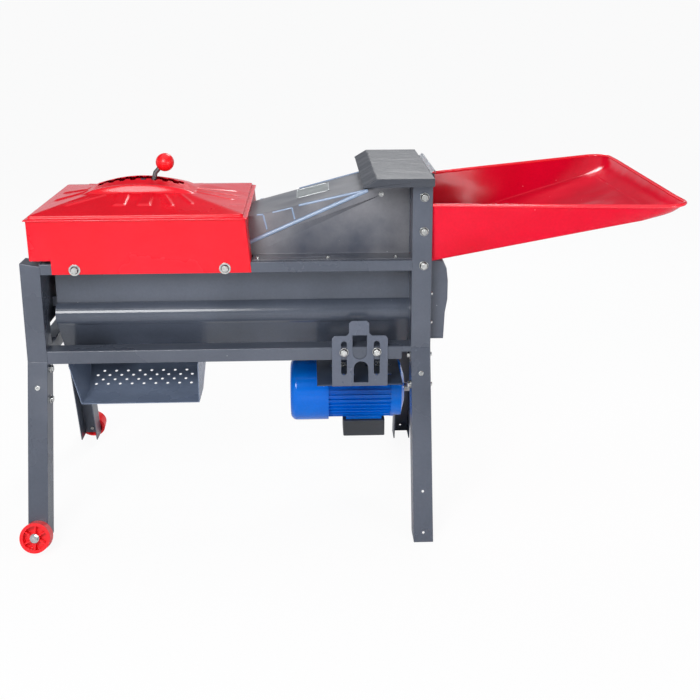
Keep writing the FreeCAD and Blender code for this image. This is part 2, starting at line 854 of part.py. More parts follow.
# Belt guard: bowed outer face, closed top and sides, open below.
guard_end = frame_length + guard_reach
guard_height = guard_high - guard_low
bowed = [(guard_end - back, guard_low + guard_height * share) for back, share in guard_bow]
guard_outline = [(frame_length, guard_low)] + bowed + [(frame_length, guard_high)]
shell_out = prism(guard_outline, "y", -guard_half, guard_half)
inner_bow = [(bowed[0][0] - sheet, guard_low - overrun)]
inner_bow += [(p[0] - sheet, p[1]) for p in bowed[1:-1]]
inner_bow.append((bowed[-1][0] - sheet, guard_high - sheet))
inner_ends = [(frame_length - overrun, guard_high - sheet), (frame_length - overrun, guard_low - overrun)]
shell_in = prism(inner_bow + inner_ends, "y", -guard_half + sheet, guard_half - sheet)
guard = shell_out.cut(shell_in)
ear_y = -guard_half - guard_flange
ear_low = guard_low + guard_flange
ear_high = guard_high - guard_flange
ear = box(frame_length, end_face, ear_y, -guard_half + sheet, ear_low, ear_high)
guard_screws = [small_bolt((end_face, guard_screw_y, z), RIGHT, post_wall + sheet) for z in guard_screw_zs]
guard = cut(fuse([guard] + both(ear)), guard_holes + [far(h) for h in guard_holes])
save("belt_guard", guard)
small_bolts = guard_screws + [far(s) for s in guard_screws]


# Lid: pressed steel cover with skirt, flange, hipped roof and toothed slot.
def skirt(inset, low, high):
    right = lid_right - inset
    left = lid_left + inset
    half = lid_half - inset
    top = half + lid_lean
    a = wire_at([(left, -half), (right, -half), (right, half), (left, half)], "z", low)
    b = wire_at([(left, -top), (right, -top), (right, top), (left, top)], "z", high)
    return Part.makeLoft([a, b], True, True)


def crest_profile(y, peak, drop, inset):
    left = V(crest_left + inset, y, crest_foot_z - drop)
    right = V(crest_right - inset, y, crest_foot_z - drop)
    middle = V((crest_left + crest_right) / 2, y, peak - drop)
    return Part.Wire([Part.Arc(left, middle, right).toShape(), Part.makeLine(right, left)])


def roof(inset, drop):
    base_z = lid_flange_z - drop
    x0 = lid_left + lid_inset + inset
    x1 = lid_right - lid_inset - inset
    half = lid_half + lid_lean - lid_inset - inset
    low = wire_at([(x0, -half), (x1, -half), (x1, half), (x0, half)], "z", base_z)
    step = wire_at([(x0, -half), (x1, -half), (x1, half), (x0, half)], "z", base_z + lid_step)
    c0 = crest_left + inset
    c1 = crest_right - inset
    wide = crest_half - inset
    top = wire_at([(c0, -wide), (c1, -wide), (c1, wide), (c0, wide)], "z", crest_foot_z - drop)
    pieces = [Part.makeLoft([low, step], True, True), Part.makeLoft([step, top], True, True)]
    middle = crest_profile(0, crest_top, drop, inset)
    for side in (-1, 1):
        edge = crest_profile(side * wide, crest_edge_top, drop, inset)
        pieces.append(Part.makeLoft([edge, middle], True, True))
    return fuse(pieces)


lid_low = upper_rail_z + sheet
flange_half = lid_half + lid_lean + lid_flange_reach
flange_left = lid_left - lid_flange_reach / 2
flange_right = lid_right + lid_flange_reach / 2
flange = box(flange_left, flange_right, -flange_half, flange_half, lid_flange_z - sheet, lid_flange_z)
ear_top = lid_flange_z - sheet
ear_points = [(lid_right - sheet, lid_low), (lid_right + lid_skirt_flare, lid_low)]
ear_points += [(lid_right, ear_top), (lid_right - sheet, ear_top)]
ear_wedge = prism(ear_points, "y", -lid_half - lid_lean, 0)


def leaning_wall():
    # Slab that follows the leaning near skirt past the lid's end wall.
    a = -lid_half
    b = -lid_half - lid_lean
    points = [(a, lid_low), (b, lid_flange_z), (b + sheet, lid_flange_z), (a + sheet, lid_low)]
    return prism(points, "x", lid_right - sheet, lid_right + lid_skirt_flare)


ear = leaning_wall().common(ear_wedge)
lid_outer = fuse([skirt(0, lid_low, lid_flange_z), flange, roof(0, 0), ear, far(ear)])
roof_inner = roof(sheet, sheet)
lid_inner = fuse([skirt(sheet, lid_low, lid_flange_z - sheet), roof_inner])
lid_tools = [lid_inner]
below = lid_low - overrun
wall_cut = overrun / 4
lid_tools.append(box(-overrun, lid_skirt_x, -frame_depth, frame_depth, below, lid_notch_z))
lid_tools.append(box(-overrun, lid_skirt_x, -flange_edge, flange_edge, below, lid_edge_z))
lid_tools.append(box(lid_right - overrun, lid_right + overrun, -cover_half, cover_half, below, cover_eave_z))
lid_tools.append(box(lid_right - wall_cut, lid_right + wall_cut, -half_depth, half_depth, 0, upper_rail_top))
lid_tools.append(box(lid_right, lid_right + overrun, -cover_half, cover_half, lid_low, tall_post_top))
teeth_line = [(slot_left, slot_half), (slot_left, -slot_half)]
for i in range(slot_teeth):
    x = slot_left + slot_pitch * i
    teeth_line.append((x + slot_pitch * tooth_share, -slot_half - tooth_depth))
    teeth_line.append((x + slot_pitch, -slot_half))
teeth_line.append((slot_left + slot_pitch * slot_teeth, slot_half))
lid_tools.append(prism(teeth_line, "z", crest_foot_z - overrun / 2, crest_top + overrun))
lid_tools += lid_holes + [far(h) for h in lid_holes]
save("lid", cut(lid_outer, lid_tools))
lean_share = (lid_bolt_z + lid_washer_radius - lid_low) / (lid_flange_z - lid_low)
lid_bolt_y = -lid_half - lid_lean * lean_share
lid_bolts = []
bolt_shape = (bolt_radius, bolt_head, bolt_head_height)
for x in lid_bolt_xs:
    seat = (x, lid_bolt_y, lid_bolt_z)
    lid_bolts.append(bolt(seat, NEAR, *bolt_shape, lid_washer_radius, washer_wall, rail_wall * 4))
save("lid_bolts", Part.makeCompound(lid_bolts + [far(b) for b in lid_bolts]))

# Lever with its pivot brackets, link rod and cob gate.
hanger_top = lid_flange_z + overrun * 2
hanger_wall = 3.0
hanger_gap = 30.0
hanger_half = 13.0


def hanger(x, y0, z1):
    block = box(x - hanger_half, x + hanger_half, y0, y0 + hanger_wall, pivot_z - hanger_half, z1)
    room = box(0, frame_length, -cover_half, cover_half, pivot_z - overrun, lid_flange_z)
    block = block.common(fuse([roof_inner, room]))
    return block.cut(rod((x, y0 - overrun, pivot_z), (x, y0 + overrun, pivot_z), pivot_radius))


gate_hang = gate_half + pin_tail
hangers = []
pivot_rods = []
for x, reach in ((lever_x, hanger_gap), (gate_x, gate_hang)):
    hangers += [hanger(x, -reach - hanger_wall, hanger_top), hanger(x, reach, hanger_top)]
    rod_end = reach + hanger_wall * 2
    pivot_rods.append(rod((x, -rod_end, pivot_z), (x, rod_end, pivot_z), pivot_radius))
save("lid_brackets", Part.makeCompound(hangers))
save("pivot_rods", Part.makeCompound(pivot_rods))

rest = math.radians(lever_rest)
pin_x = lever_arm * math.sin(rest)
pin_z = pivot_z + lever_arm * math.cos(rest)
link_y = stem_radius + running_gap * 10
stem_points = [(lever_x, pivot_z)]
stem_points.append((lever_x + stem_length * math.sin(rest), pivot_z + stem_length * math.cos(rest)))
for across, rise in stem_bends:
    stem_points.append((stem_points[-1][0] + across, stem_points[-1][1] + rise))
knob = stem_points[-1]
link_end = link_y + link_thick + pin_tail
hub_half = hanger_gap - hub_play
stem = [rod((lever_x, -hub_half, pivot_z), (lever_x, hub_half, pivot_z), hub_radius)]
stem.append(rod((lever_x + pin_x, 0, pin_z), (lever_x + pin_x, link_end, pin_z), pin_radius))
for a, b in zip(stem_points, stem_points[1:]):
    stem.append(rod((a[0], 0, a[1]), (b[0], 0, b[1]), stem_radius))
for p in stem_points[1:-1]:
    stem.append(ball((p[0], 0, p[1]), stem_radius))
pivot_hole = rod((lever_x, -hanger_gap, pivot_z), (lever_x, hanger_gap, pivot_z), pivot_radius + running_gap)
lever = fuse(stem).cut(pivot_hole)
knob_ball = ball((knob[0], 0, knob[1]), ball_radius)
save("lever", lever.cut(knob_ball))
save("lever_knob", knob_ball)

half_link = link_height / 2
link_face = link_y + link_thick
link = [box(gate_x + pin_x, lever_x + pin_x, link_y, link_face, pin_z - half_link, pin_z + half_link)]
link_bores = []
for x in (gate_x + pin_x, lever_x + pin_x):
    link.append(rod((x, link_y, pin_z), (x, link_face, pin_z), half_link))
    link_bores.append(rod((x, 0, pin_z), (x, overrun, pin_z), pin_radius + running_gap))
save("link_rod", fuse(link).cut(link_bores))

gate_turn = math.radians(gate_lag - lever_rest)
gate_dir = (math.sin(gate_turn), -math.cos(gate_turn))
gate_side = (math.cos(gate_turn), math.sin(gate_turn))


def flat_bar(start, end, side, half):
    # Outline of a straight bar between two points, seen from its edge.
    across = (side[0] * half, side[1] * half)
    points = [(start[0] - across[0], start[1] - across[1]), (start[0] + across[0], start[1] + across[1])]
    points += [(end[0] + across[0], end[1] + across[1]), (end[0] - across[0], end[1] - across[1])]
    return points


def down_gate(reach):
    return gate_x + gate_dir[0] * reach, pivot_z + gate_dir[1] * reach


blade = flat_bar(down_gate(hub_radius * hub_share), down_gate(gate_length), gate_side, plate / 2)
arm_half = 8.0
arm_side = (math.cos(rest), -math.sin(rest))
arm = flat_bar((gate_x, pivot_z), (gate_x + pin_x, pin_z), arm_side, arm_half)
gate_pieces = [prism(blade, "y", -gate_half, gate_half), prism(arm, "y", pin_tail, stem_radius)]
gate_pieces.append(rod((gate_x, -gate_half, pivot_z), (gate_x, gate_half, pivot_z), hub_radius))
gate_pieces.append(rod((gate_x + pin_x, pin_tail, pin_z), (gate_x + pin_x, link_end, pin_z), pin_radius))
bore_half = gate_half + overrun
gate_bore = rod((gate_x, -bore_half, pivot_z), (gate_x, bore_half, pivot_z), pivot_radius + running_gap)
save("cob_gate", fuse(gate_pieces).cut(gate_bore))


# Feed cover: gabled at the lid end, flat towards the feed end.
def cover_solid(t, low):
    y = cover_half - t
    x0 = lid_right
    xb = cover_break_x
    x1 = right_post_x
    eave = cover_eave_z - t
    top = cover_top_z - t
    half = cover_top_half - t
    brk = cover_break_z - t
    end = cover_end_z - t
    near_wall = [(x0, -y, low), (x1, -y, low), (x1, -y, end), (xb, -y, brk), (x0, -y, eave)]
    far_wall = [(p[0], y, p[2]) for p in near_wall][::-1]
    faces = [near_wall, far_wall]
    faces.append([(x0, -y, eave), (xb, -y, brk), (x0, -half, top)])
    faces.append([(x0, half, top), (xb, y, brk), (x0, y, eave)])
    faces.append([(x0, -half, top), (xb, -y, brk), (xb, y, brk), (x0, half, top)])
    faces.append([(xb, -y, brk), (x1, -y, end), (x1, y, end), (xb, y, brk)])
    lid_end = [(x0, -y, low), (x0, -y, eave), (x0, -half, top), (x0, half, top), (x0, y, eave), (x0, y, low)]
    faces.append(lid_end)
    faces.append([(x1, -y, low), (x1, y, low), (x1, y, end), (x1, -y, end)])
    faces.append([(x0, -y, low), (x0, y, low), (x1, y, low), (x1, -y, low)])
    return solid_of(faces)


cover = cover_solid(0, upper_rail_top).cut(cover_solid(sheet, upper_rail_top - overrun))
foot_left = lid_right + lid_skirt_flare
foot_edge = -cover_half - cover_foot
foot_top = upper_rail_top + sheet
foot = box(foot_left, right_post_x, foot_edge, -cover_half + sheet, upper_rail_top, foot_top)
cover_tools = [hole((x, rail_bolt_y, foot_top), UP, small_bolt_radius, rail_wall * 3) for x in rail_bolt_xs]
cover_screw = (cover_break_x + cover_screw_run, -cover_half, cover_break_z - cover_screw_down)
cover_tools.append(hole(cover_screw, NEAR, small_bolt_radius, sheet * 3))
cover = cut(fuse([cover] + both(foot)), cover_tools + [far(h) for h in cover_tools])
save("feed_cover", cover)
rail_bolts = [small_bolt((x, rail_bolt_y, foot_top), UP, rail_wall * 3) for x in rail_bolt_xs]
rail_bolts.append(small_bolt(cover_screw, NEAR, sheet * 2))
small_bolts += rail_bolts + [far(b) for b in rail_bolts]

# Rating plate, left bare, lying on the flat top of the feed cover.
slope = (cover_break_z - cover_top_z) / (cover_break_x - lid_right)
lift = cover_top_z + slope * (name_left - lid_right)
rise = slope * name_length
name_right = name_left + name_length
name_points = [(name_left, lift), (name_right, lift + rise), (name_right, lift + rise + name_wall)]
name_points.append((name_left, lift + name_wall))
save("rating_plate", prism(name_points, "y", name_near, name_near + name_width))

# Head cap: folded sheet with a lip on the near and far edges.
cap_top = tall_post_top + plate
cap_line = [(cap_left, cap_left_z), (cap_fold_x, cap_top), (frame_length, cap_top)]
cap_sheet = prism(strip(cap_line, plate), "y", -cap_half, cap_half)
lip_line = cap_line + [(frame_length, cap_top - cap_lip), (cap_left, cap_left_z - plate)]
lip = prism(lip_line, "y", -cap_half, -cap_half + plate)
curtain_x = frame_length + curtain_reach


def curtain_line(half, radius):
    # Round bar along the line that the curtain hangs from.
    return rod((curtain_x, -half, curtain_z), (curtain_x, half, curtain_z), radius)


lug_half = curtain_half + lug_gap
lug_left = frame_length - lug_back
lug_right = frame_length + lug_front
lug = box(lug_left, lug_right, -lug_half - plate, -lug_half, curtain_z - lug_back, tall_post_top)
curtain_rod = curtain_line(lug_half + plate * 2, curtain_rod_radius)
cap = fuse([cap_sheet] + both(lip) + both(lug)).cut(curtain_line(frame_depth, curtain_rod_radius))
save("head_cap", Part.makeCompound([cap, curtain_rod]))

# Splash curtain: a sheet hung from its rod, its upper edge curled over.
tube = curtain_line(curtain_half, curtain_rod_radius * curtain_tube_share)
flap_left = curtain_x - sheet / 2
flap_right = curtain_x + sheet / 2
flap = box(flap_left, flap_right, -curtain_half, curtain_half, curtain_z - curtain_drop, curtain_z)
curl_line = [(curtain_x + p[0], curtain_z + p[1]) for p in curtain_curl]
curl = prism(strip(curl_line, sheet), "y", -curtain_half, curtain_half)
tube_bore = curtain_line(frame_depth, curtain_rod_radius + running_gap)
save("splash_curtain", fuse([tube, flap, curl]).cut(tube_bore))

# Feed tray: flared scoop with a rolled rim and a tongue that reaches in.
tray_in = frame_length
tray_out = frame_length + tray_reach
tray_wall_x = tray_out - tray_wall_run


def tray_section(x, half_low, low, half_top, top, lift):
    points = [(-half_top, top + lift), (-half_top, top), (-half_low, low), (half_low, low), (half_top, top)]
    points.append((half_top, top + lift))
    return wire_at(points if lift else points[1:-1], "x", x)


def rim_at(x):
    share = (x - tray_in) / tray_reach
    half = tray_in_half + (tray_out_half - tray_in_half) * share
    return half, tray_in_rim + tray_rim_rise * share


corner_shares = [(0.0, 1.0, 0.0), (0.45, 0.994, 0.42), (0.8, 0.97, 0.76), (1.0, 0.91, 0.96)]


def tray_solid(wall, lift):
    half, top = rim_at(tray_in)
    floor_half = tray_floor_in_half - wall
    sections = [tray_section(tray_in, floor_half, tray_floor_in_z + wall, half - wall, top, lift)]
    for run, wide, up in corner_shares:
        x = tray_wall_x + (tray_wall_run - wall) * run
        half, top = rim_at(x)
        half = half * wide
        low = tray_floor_out_z + (top - tray_floor_out_z) * up
        low_half = tray_floor_out_half + (half - tray_floor_out_half) * up
        sections.append(tray_section(x, low_half - wall, low + wall * (1 - up), half - wall, top, lift))
    return loft(sections)


tray_shell = tray_solid(0, 0).cut(tray_solid(sheet, overrun))
rim_points = [(tray_in, -tray_in_half, tray_in_rim)]
for run, wide, up in corner_shares:
    x = tray_wall_x + tray_wall_run * run
    half, top = rim_at(x)
    rim_points.append((x, -half * wide, top))
rim_points = rim_points + [(p[0], -p[1], p[2]) for p in rim_points[::-1]]
rim = []
for a, b in zip(rim_points, rim_points[1:]):
    rim.append(rod(a, b, rim_radius))
    rim.append(ball(b, rim_radius))
rim = fuse(rim[:-1]).common(box(tray_in, tray_out + overrun, -frame_depth, frame_depth, 0, frame_length))
tongue_half = flange_edge - part_gap
tongue = box(right_post_x, tray_in + sheet, -tongue_half, tongue_half, sill_z, sill_z + sheet)
low = tray_floor_in_z
ledge = [(-tray_in_half, tray_in_rim), (-tray_floor_in_half, low)]
ledge += [(-flange_edge, low), (-flange_edge, tray_in_rim)]
face_flange = prism(ledge, "x", tray_in, tray_in + sheet)
riser = box(tray_in, tray_in + sheet, -flange_edge, flange_edge, low, sill_z + sheet)
tray_bolts = [small_bolt((end_face, tray_bolt_y, z), RIGHT, post_wall + sheet) for z in tray_bolt_zs]
tray = fuse([tray_shell, rim, tongue, riser] + both(face_flange))
save("feed_tray", cut(tray, tray_holes + [far(h) for h in tray_holes]))

post_bolts = [frame_bolt((post_bolt_x, -half_depth, z), NEAR, post_wall * 3) for z in post_bolt_zs]
big_bolts += post_bolts + [far(b) for b in post_bolts]
small_bolts += tray_bolts + [far(b) for b in tray_bolts]
save("small_bolts", Part.makeCompound(small_bolts))

# Kernel chute: leaning left wall, flat lip, perforated sloping floor.
chute_top = lower_rail_z
floor_line = [(-chute_lip_y, chute_floor_z), (-chute_fold_y, chute_floor_z), (chute_back_y, chute_top)]
floor_strip = strip(floor_line[::-1], sheet)
chute_floor = prism(floor_strip, "x", chute_left, chute_right)
chute_floor = chute_floor.common(box(0, frame_length, -frame_depth, frame_depth, 0, chute_top))
side_face = [(-chute_lip_y, chute_floor_z), (-chute_fold_y, chute_floor_z), (chute_back_y, chute_top)]
side_face += [(-chute_lip_y + lip_cut, chute_top), (-chute_lip_y, chute_top - lip_cut)]
block = prism(side_face, "x", chute_left - chute_lean, chute_right)
lean_back = chute_left - chute_lean * 2
lean_foot = chute_left + chute_lean
lean_cut = [(lean_back, chute_floor_z - overrun), (lean_foot, chute_floor_z - overrun)]
lean_cut += [(lean_foot, chute_floor_z), (chute_left, chute_top)]
lean_cut += [(chute_left, chute_top + overrun), (lean_back, chute_top + overrun)]
lean_in = [(p[0] + (sheet if p[0] >= chute_left else 0), p[1]) for p in lean_cut]
outer_wedge = prism(lean_cut, "y", -frame_depth, frame_depth)
inner_wedge = prism(lean_in, "y", -frame_depth, frame_depth)
left_wall = block.common(inner_wedge).cut(outer_wedge)
right_wall = prism(side_face, "x", chute_right - sheet, chute_right)
chute_floor = chute_floor.cut(outer_wedge)
turn_floor = math.atan2(chute_top - chute_floor_z, chute_back_y + chute_fold_y)
drill = []
row_step = hole_pitch / 2
for r in range(hole_rows):
    along = row_first + row_step * r
    y = -chute_fold_y + along * math.cos(turn_floor)
    z = chute_floor_z + along * math.sin(turn_floor)
    way = (0, -math.sin(turn_floor), math.cos(turn_floor))
    for k in range(holes_in_row - r % 2):
        x = hole_first_x + hole_pitch * (k + (r % 2) / 2)
        drill.append(hole((x, y, z), way, hole_radius, overrun / 4))
flange_low = chute_top - sheet
hang_y = -half_depth + rail_wall * 2
hang_end_y = -half_depth + rail_depth
hang_front = box(chute_right - rail_depth, chute_right, hang_y, hang_end_y, flange_low, chute_top)
hang_left = box(chute_left, chute_left + rail_depth, hang_y, hang_end_y, flange_low, chute_top)
back_flange = box(chute_left, chute_right, chute_back_y - sheet, -hang_y, flange_low, chute_top)
chute = fuse([chute_floor, left_wall, right_wall, hang_front, hang_left, back_flange])
save("kernel_chute", cut(chute, drill))

# Cob slide: ribbed plate on the left cross rail.
slide_half = 110.0
slide_rise = 27.0
slide_line = [(slide_left, lower_rail_top), (post_width, lower_rail_top)]
slide_line.append((casing_left - slide_gap, lower_rail_top + slide_rise))
save("cob_slide", prism(strip(slide_line[::-1], plate), "y", -slide_half, slide_half))

# Motor hung under the cradle shelf.
body_left = motor_left + fan_cover_length
body_right = body_left + body_length
shield_right = body_right + shield_length


def motor_rod(x0, x1, radius):
    return rod((x0, 0, motor_z), (x1, 0, motor_z), radius)


def turned(shape, turn):
    # Stands a piece made above the origin on the motor's axis and turns it.
    shape.translate(V(0, 0, motor_z))
    shape.rotate(V(0, 0, motor_z), V(1, 0, 0), turn)
    return shape


fins = []
fin_left = body_left + part_gap
fin_right = body_right - part_gap
for i in range(fin_count):
    fin = box(fin_left, fin_right, -fin_half, fin_half, body_radius - fin_root, body_radius + fin_height)
    fins.append(turned(fin, 360.0 * (i + 0.5) / fin_count))
foot_x = body_left + foot_left_inset
foot_end_x = body_right - foot_right_inset
foot_y = foot_half - foot_reach
near_foot = box(foot_x, foot_end_x, -foot_half - foot_reach, -foot_y, motor_foot_z - foot_wall, motor_foot_z)
web_z = motor_z + body_radius * foot_web_share
web = box(foot_x, foot_end_x, -foot_half, -foot_half * foot_web_share, web_z, motor_foot_z)
stator_bore = motor_rod(body_left, body_right, motor_shaft_radius * stator_share)
body = fuse([motor_rod(body_left, body_right, body_radius)] + fins + both(near_foot) + both(web))
box_top = motor_z - body_radius - fin_height - box_down
neck_x = box_left + neck_inset
neck_end_x = box_left + box_length - neck_inset
neck_half = box_half * neck_share
neck = box(neck_x, neck_end_x, -neck_half, neck_half, box_top, motor_z - body_radius * neck_share)
body = fuse([body, neck]).cut(stator_bore)
motor_bolt_xs = (foot_x + motor_bolt_inset, foot_end_x - motor_bolt_inset)
shelf_top = motor_foot_z + shelf_wall
motor_holes = []
for x in motor_bolt_xs:
    motor_holes += both(hole((x, -motor_bolt_y, shelf_top), UP, bolt_radius, foot_wall * 2))
save("motor_body", cut(body, motor_holes))
nose_x = shield_right - nose_length
shield = motor_rod(body_right, nose_x, shield_radius)
nose_radius = shield_radius * nose_share
nose = Part.makeCone(shield_radius, nose_radius, nose_length, V(nose_x, 0, motor_z), V(1, 0, 0))
boss_low = motor_z - shield_radius - boss_reach
boss = box(body_right, body_right + boss_length, -boss_half, boss_half, boss_low, boss_low + boss_length * 2)
shield_bore = motor_rod(body_right, shield_right + overrun, motor_shaft_radius + running_gap)
save("motor_end_shield", fuse([shield, nose, boss]).cut(shield_bore))


def rounded_drum(left, right, radius, edge):
    # Cylinder on the motor's axis with its left rim rounded.
    shape = motor_rod(left, right, radius)
    return shape.makeFillet(edge, [e for e in shape.Edges if abs(e.BoundBox.XMax - left) < part_gap])


cover_shape = rounded_drum(motor_left, body_left, fan_cover_radius, cover_edge)
inner_radius = fan_cover_radius - sheet
cover_hollow = rounded_drum(motor_left + sheet, body_left + overrun, inner_radius, cover_edge - sheet)
grill = []
for ring in range(grill_rings):
    reach = grill_first + grill_step * ring
    count = grill_count + grill_more * ring
    for k in range(count):
        turn = 2 * math.pi * k / count
        y = reach * math.cos(turn)
        z = motor_z + reach * math.sin(turn)
        grill.append(rod((motor_left - sheet, y, z), (motor_left + sheet * 2, y, z), grill_hole))
wall_bore = motor_rod(body_left - overrun, body_left + overrun, motor_shaft_radius * 2)
inner_wall = motor_rod(body_left - sheet, body_left, inner_radius).cut(wall_bore)
save("motor_fan_cover", fuse([cover_shape.cut([cover_hollow] + grill), inner_wall]))
fan_left = motor_left + fan_inset
fan_right = fan_left + fan_length
disc_x = fan_left + fan_disc_at
disc_radius = fan_cover_radius - fan_disc_gap
fan = [motor_rod(fan_left, fan_right, fan_hub), motor_rod(disc_x, disc_x + plate, disc_radius)]
blade_x = fan_left + sheet * 2
blade_end_x = disc_x + plate / 2
blade_reach = disc_radius - plate / 2
for k in range(fan_blades):
    fan_blade = box(blade_x, blade_end_x, -blade_half, blade_half, fan_hub - plate, blade_reach)
    fan.append(turned(fan_blade, 360.0 * k / fan_blades))
motor_end = pulley_x + pulley_width / 2 + shaft_tail
save("motor_fan", fuse(fan).cut(motor_rod(fan_left, fan_right, motor_shaft_radius)))
save("motor_shaft", motor_rod(fan_left - shaft_tail, motor_end, motor_shaft_radius))
box_low = box_top - box_height
case = box(box_left, box_left + box_length, -box_half, box_half, box_low, box_top)
upright = [e for e in case.Edges if abs(e.BoundBox.ZMax - e.BoundBox.ZMin) > box_height / 2]
case = case.makeFillet(box_corner, upright)
gland_x = box_left + box_length * gland_share
gland_z = box_low + box_height / 2
gland_seat = box_half + gland_reach
gland_end = gland_seat + gland_reach / 2


def gland_rod(y0, y1, radius):
    return rod((gland_x, y0, gland_z), (gland_x, y1, gland_z), radius)


gland_nut = gland_rod(gland_seat, gland_end, gland_radius * gland_nut_share)
gland = fuse([gland_rod(box_half, gland_seat, gland_radius), gland_nut])
gland = gland.cut(gland_rod(gland_seat - gland_reach / 2, gland_seat * 2, gland_radius * gland_bore_share))
save("junction_box", Part.makeCompound([case, gland]))

# Cradle: shelf with two slotted face plates that slide on the lower rails.
shelf = box(shelf_left, shelf_right, -half_depth, half_depth, motor_foot_z, motor_foot_z + shelf_wall)
shelf_slots = []
slot_half_width = bolt_radius + shelf_slot_play
under = motor_foot_z - overrun
over = motor_foot_z + overrun
for x in motor_bolt_xs:
    for y in (motor_bolt_y, spare_slot_y):
        y0 = -y - slot_half_width
        y1 = -y + slot_half_width
        shelf_slots += both(box(x - shelf_slot_run, x + shelf_slot_run, y0, y1, under, over))
    for end in (-shelf_slot_run, shelf_slot_run):
        end_x = x + end
        shelf_slots += both(rod((end_x, -motor_bolt_y, under), (end_x, -motor_bolt_y, over), slot_half_width))
save("cradle_shelf", shelf.cut(shelf_slots))

bevel = cradle_chamfer
outline = [(cradle_left, motor_foot_z), (cradle_right, motor_foot_z), (cradle_right, cradle_shoulder - bevel)]
outline += [(cradle_right - bevel, cradle_shoulder), (neck_right + bevel, cradle_shoulder)]
outline += [(neck_right, cradle_shoulder + bevel), (neck_right, cradle_top - bevel)]
outline += [(neck_right - bevel, cradle_top), (neck_left + bevel, cradle_top)]
outline += [(neck_left, cradle_top - bevel), (neck_left, cradle_shoulder + bevel)]
outline += [(neck_left - bevel, cradle_shoulder), (cradle_left + bevel, cradle_shoulder)]
outline.append((cradle_left, cradle_shoulder - bevel))
y_out = -half_depth - plate
face_plate = prism(outline, "y", y_out, -half_depth)


def cut_rod(x, z, radius):
    return rod((x, y_out - overrun, z), (x, 0, z), radius)


plate_cuts = []
slot_radius = slot_width / 2
for x in cradle_xs:
    ends = (slot_low + slot_radius, slot_high - slot_radius)
    plate_cuts.append(box(x - slot_radius, x + slot_radius, y_out - overrun, 0, *ends))
    plate_cuts += [cut_rod(x, z, slot_radius) for z in ends]
window_left = neck_left + window_left_edge
window_right = neck_right - window_right_edge
window_radius = (window_right - window_left) / 2
window_mid = (window_left + window_right) / 2
upper_z = window_split_z + window_bridge + window_radius
upper_top = cradle_shoulder + window_wide
plate_cuts.append(box(window_left, window_right, y_out - overrun, 0, upper_z, upper_top))
plate_cuts.append(cut_rod(window_mid, upper_z, window_radius))
low_radius = window_radius + window_wide / 2
low_mid = window_mid + window_step + window_wide / 2
floor_z = motor_foot_z + window_floor
low_left = low_mid - low_radius
plate_cuts.append(box(low_left, low_left + low_radius * 2, y_out - overrun, 0, floor_z, window_split_z))
plate_cuts.append(cut_rod(low_mid, window_split_z, low_radius))
save_pair("near_cradle_plate", "far_cradle_plate", face_plate.cut(plate_cuts))
cradle_bolts = [frame_bolt((x, y_out, cradle_bolt_z), NEAR, plate + rail_wall * 3) for x in cradle_xs]
big_bolts += cradle_bolts + [far(b) for b in cradle_bolts]
save("frame_bolts", Part.makeCompound(big_bolts))
motor_bolts = []
for x in motor_bolt_xs:
    motor_bolts += both(frame_bolt((x, -motor_bolt_y, shelf_top), UP, shelf_wall + foot_wall))
save("motor_bolts", Part.makeCompound(motor_bolts))


# Wheels on the left legs, each turning on its own bolt.
def along_axle(distance):
    return (axle[0], axle[1] + axle_out[1] * distance, axle[2] + axle_out[2] * distance)


def wheel():
    inner_side = along_axle(0)
    outer_side = along_axle(wheel_width)
    tyre = rod(inner_side, outer_side, wheel_radius)
    rim_inside = wheel_radius - tyre_wall
    well = rod(along_axle(wheel_width * well_share), along_axle(wheel_width + overrun), rim_inside)
    back = rod(along_axle(-overrun), along_axle(wheel_width * back_share), rim_inside)
    hub = rod(inner_side, outer_side, wheel_bolt_radius * wheel_hub_share)
    spokes = []
    rib_y = axle[1] - wheel_width * (1 - spoke_share)
    rib_end_y = axle[1] - wheel_width * spoke_share
    rib_top = axle[2] + wheel_radius - spoke_gap
    for k in range(spoke_count):
        rib = box(axle[0] - spoke_half, axle[0] + spoke_half, rib_y, rib_end_y, axle[2], rib_top)
        rib.rotate(V(*axle), V(1, 0, 0), -tilt_left)
        rib.rotate(V(*axle), V(*axle_out), 360.0 * k / spoke_count)
        spokes.append(rib)
    bore = rod(along_axle(-overrun), along_axle(wheel_width + overrun), wheel_bolt_radius + running_gap)
    return fuse([tyre.cut([well, back]), hub] + spokes).cut(bore)


save_pair("near_wheel", "far_wheel", wheel())
wheel_grip = wheel_width + post_wall * 3
wheel_seat = (along_axle(wheel_width), axle_out, wheel_bolt_radius, bolt_head, bolt_head_height)
wheel_bolt = bolt(*wheel_seat, washer_radius, washer_wall, wheel_grip)
save("wheel_bolts", Part.makeCompound(both(wheel_bolt)))
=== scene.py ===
import json
import math

import bmesh
import bpy
from mathutils import Matrix, Vector

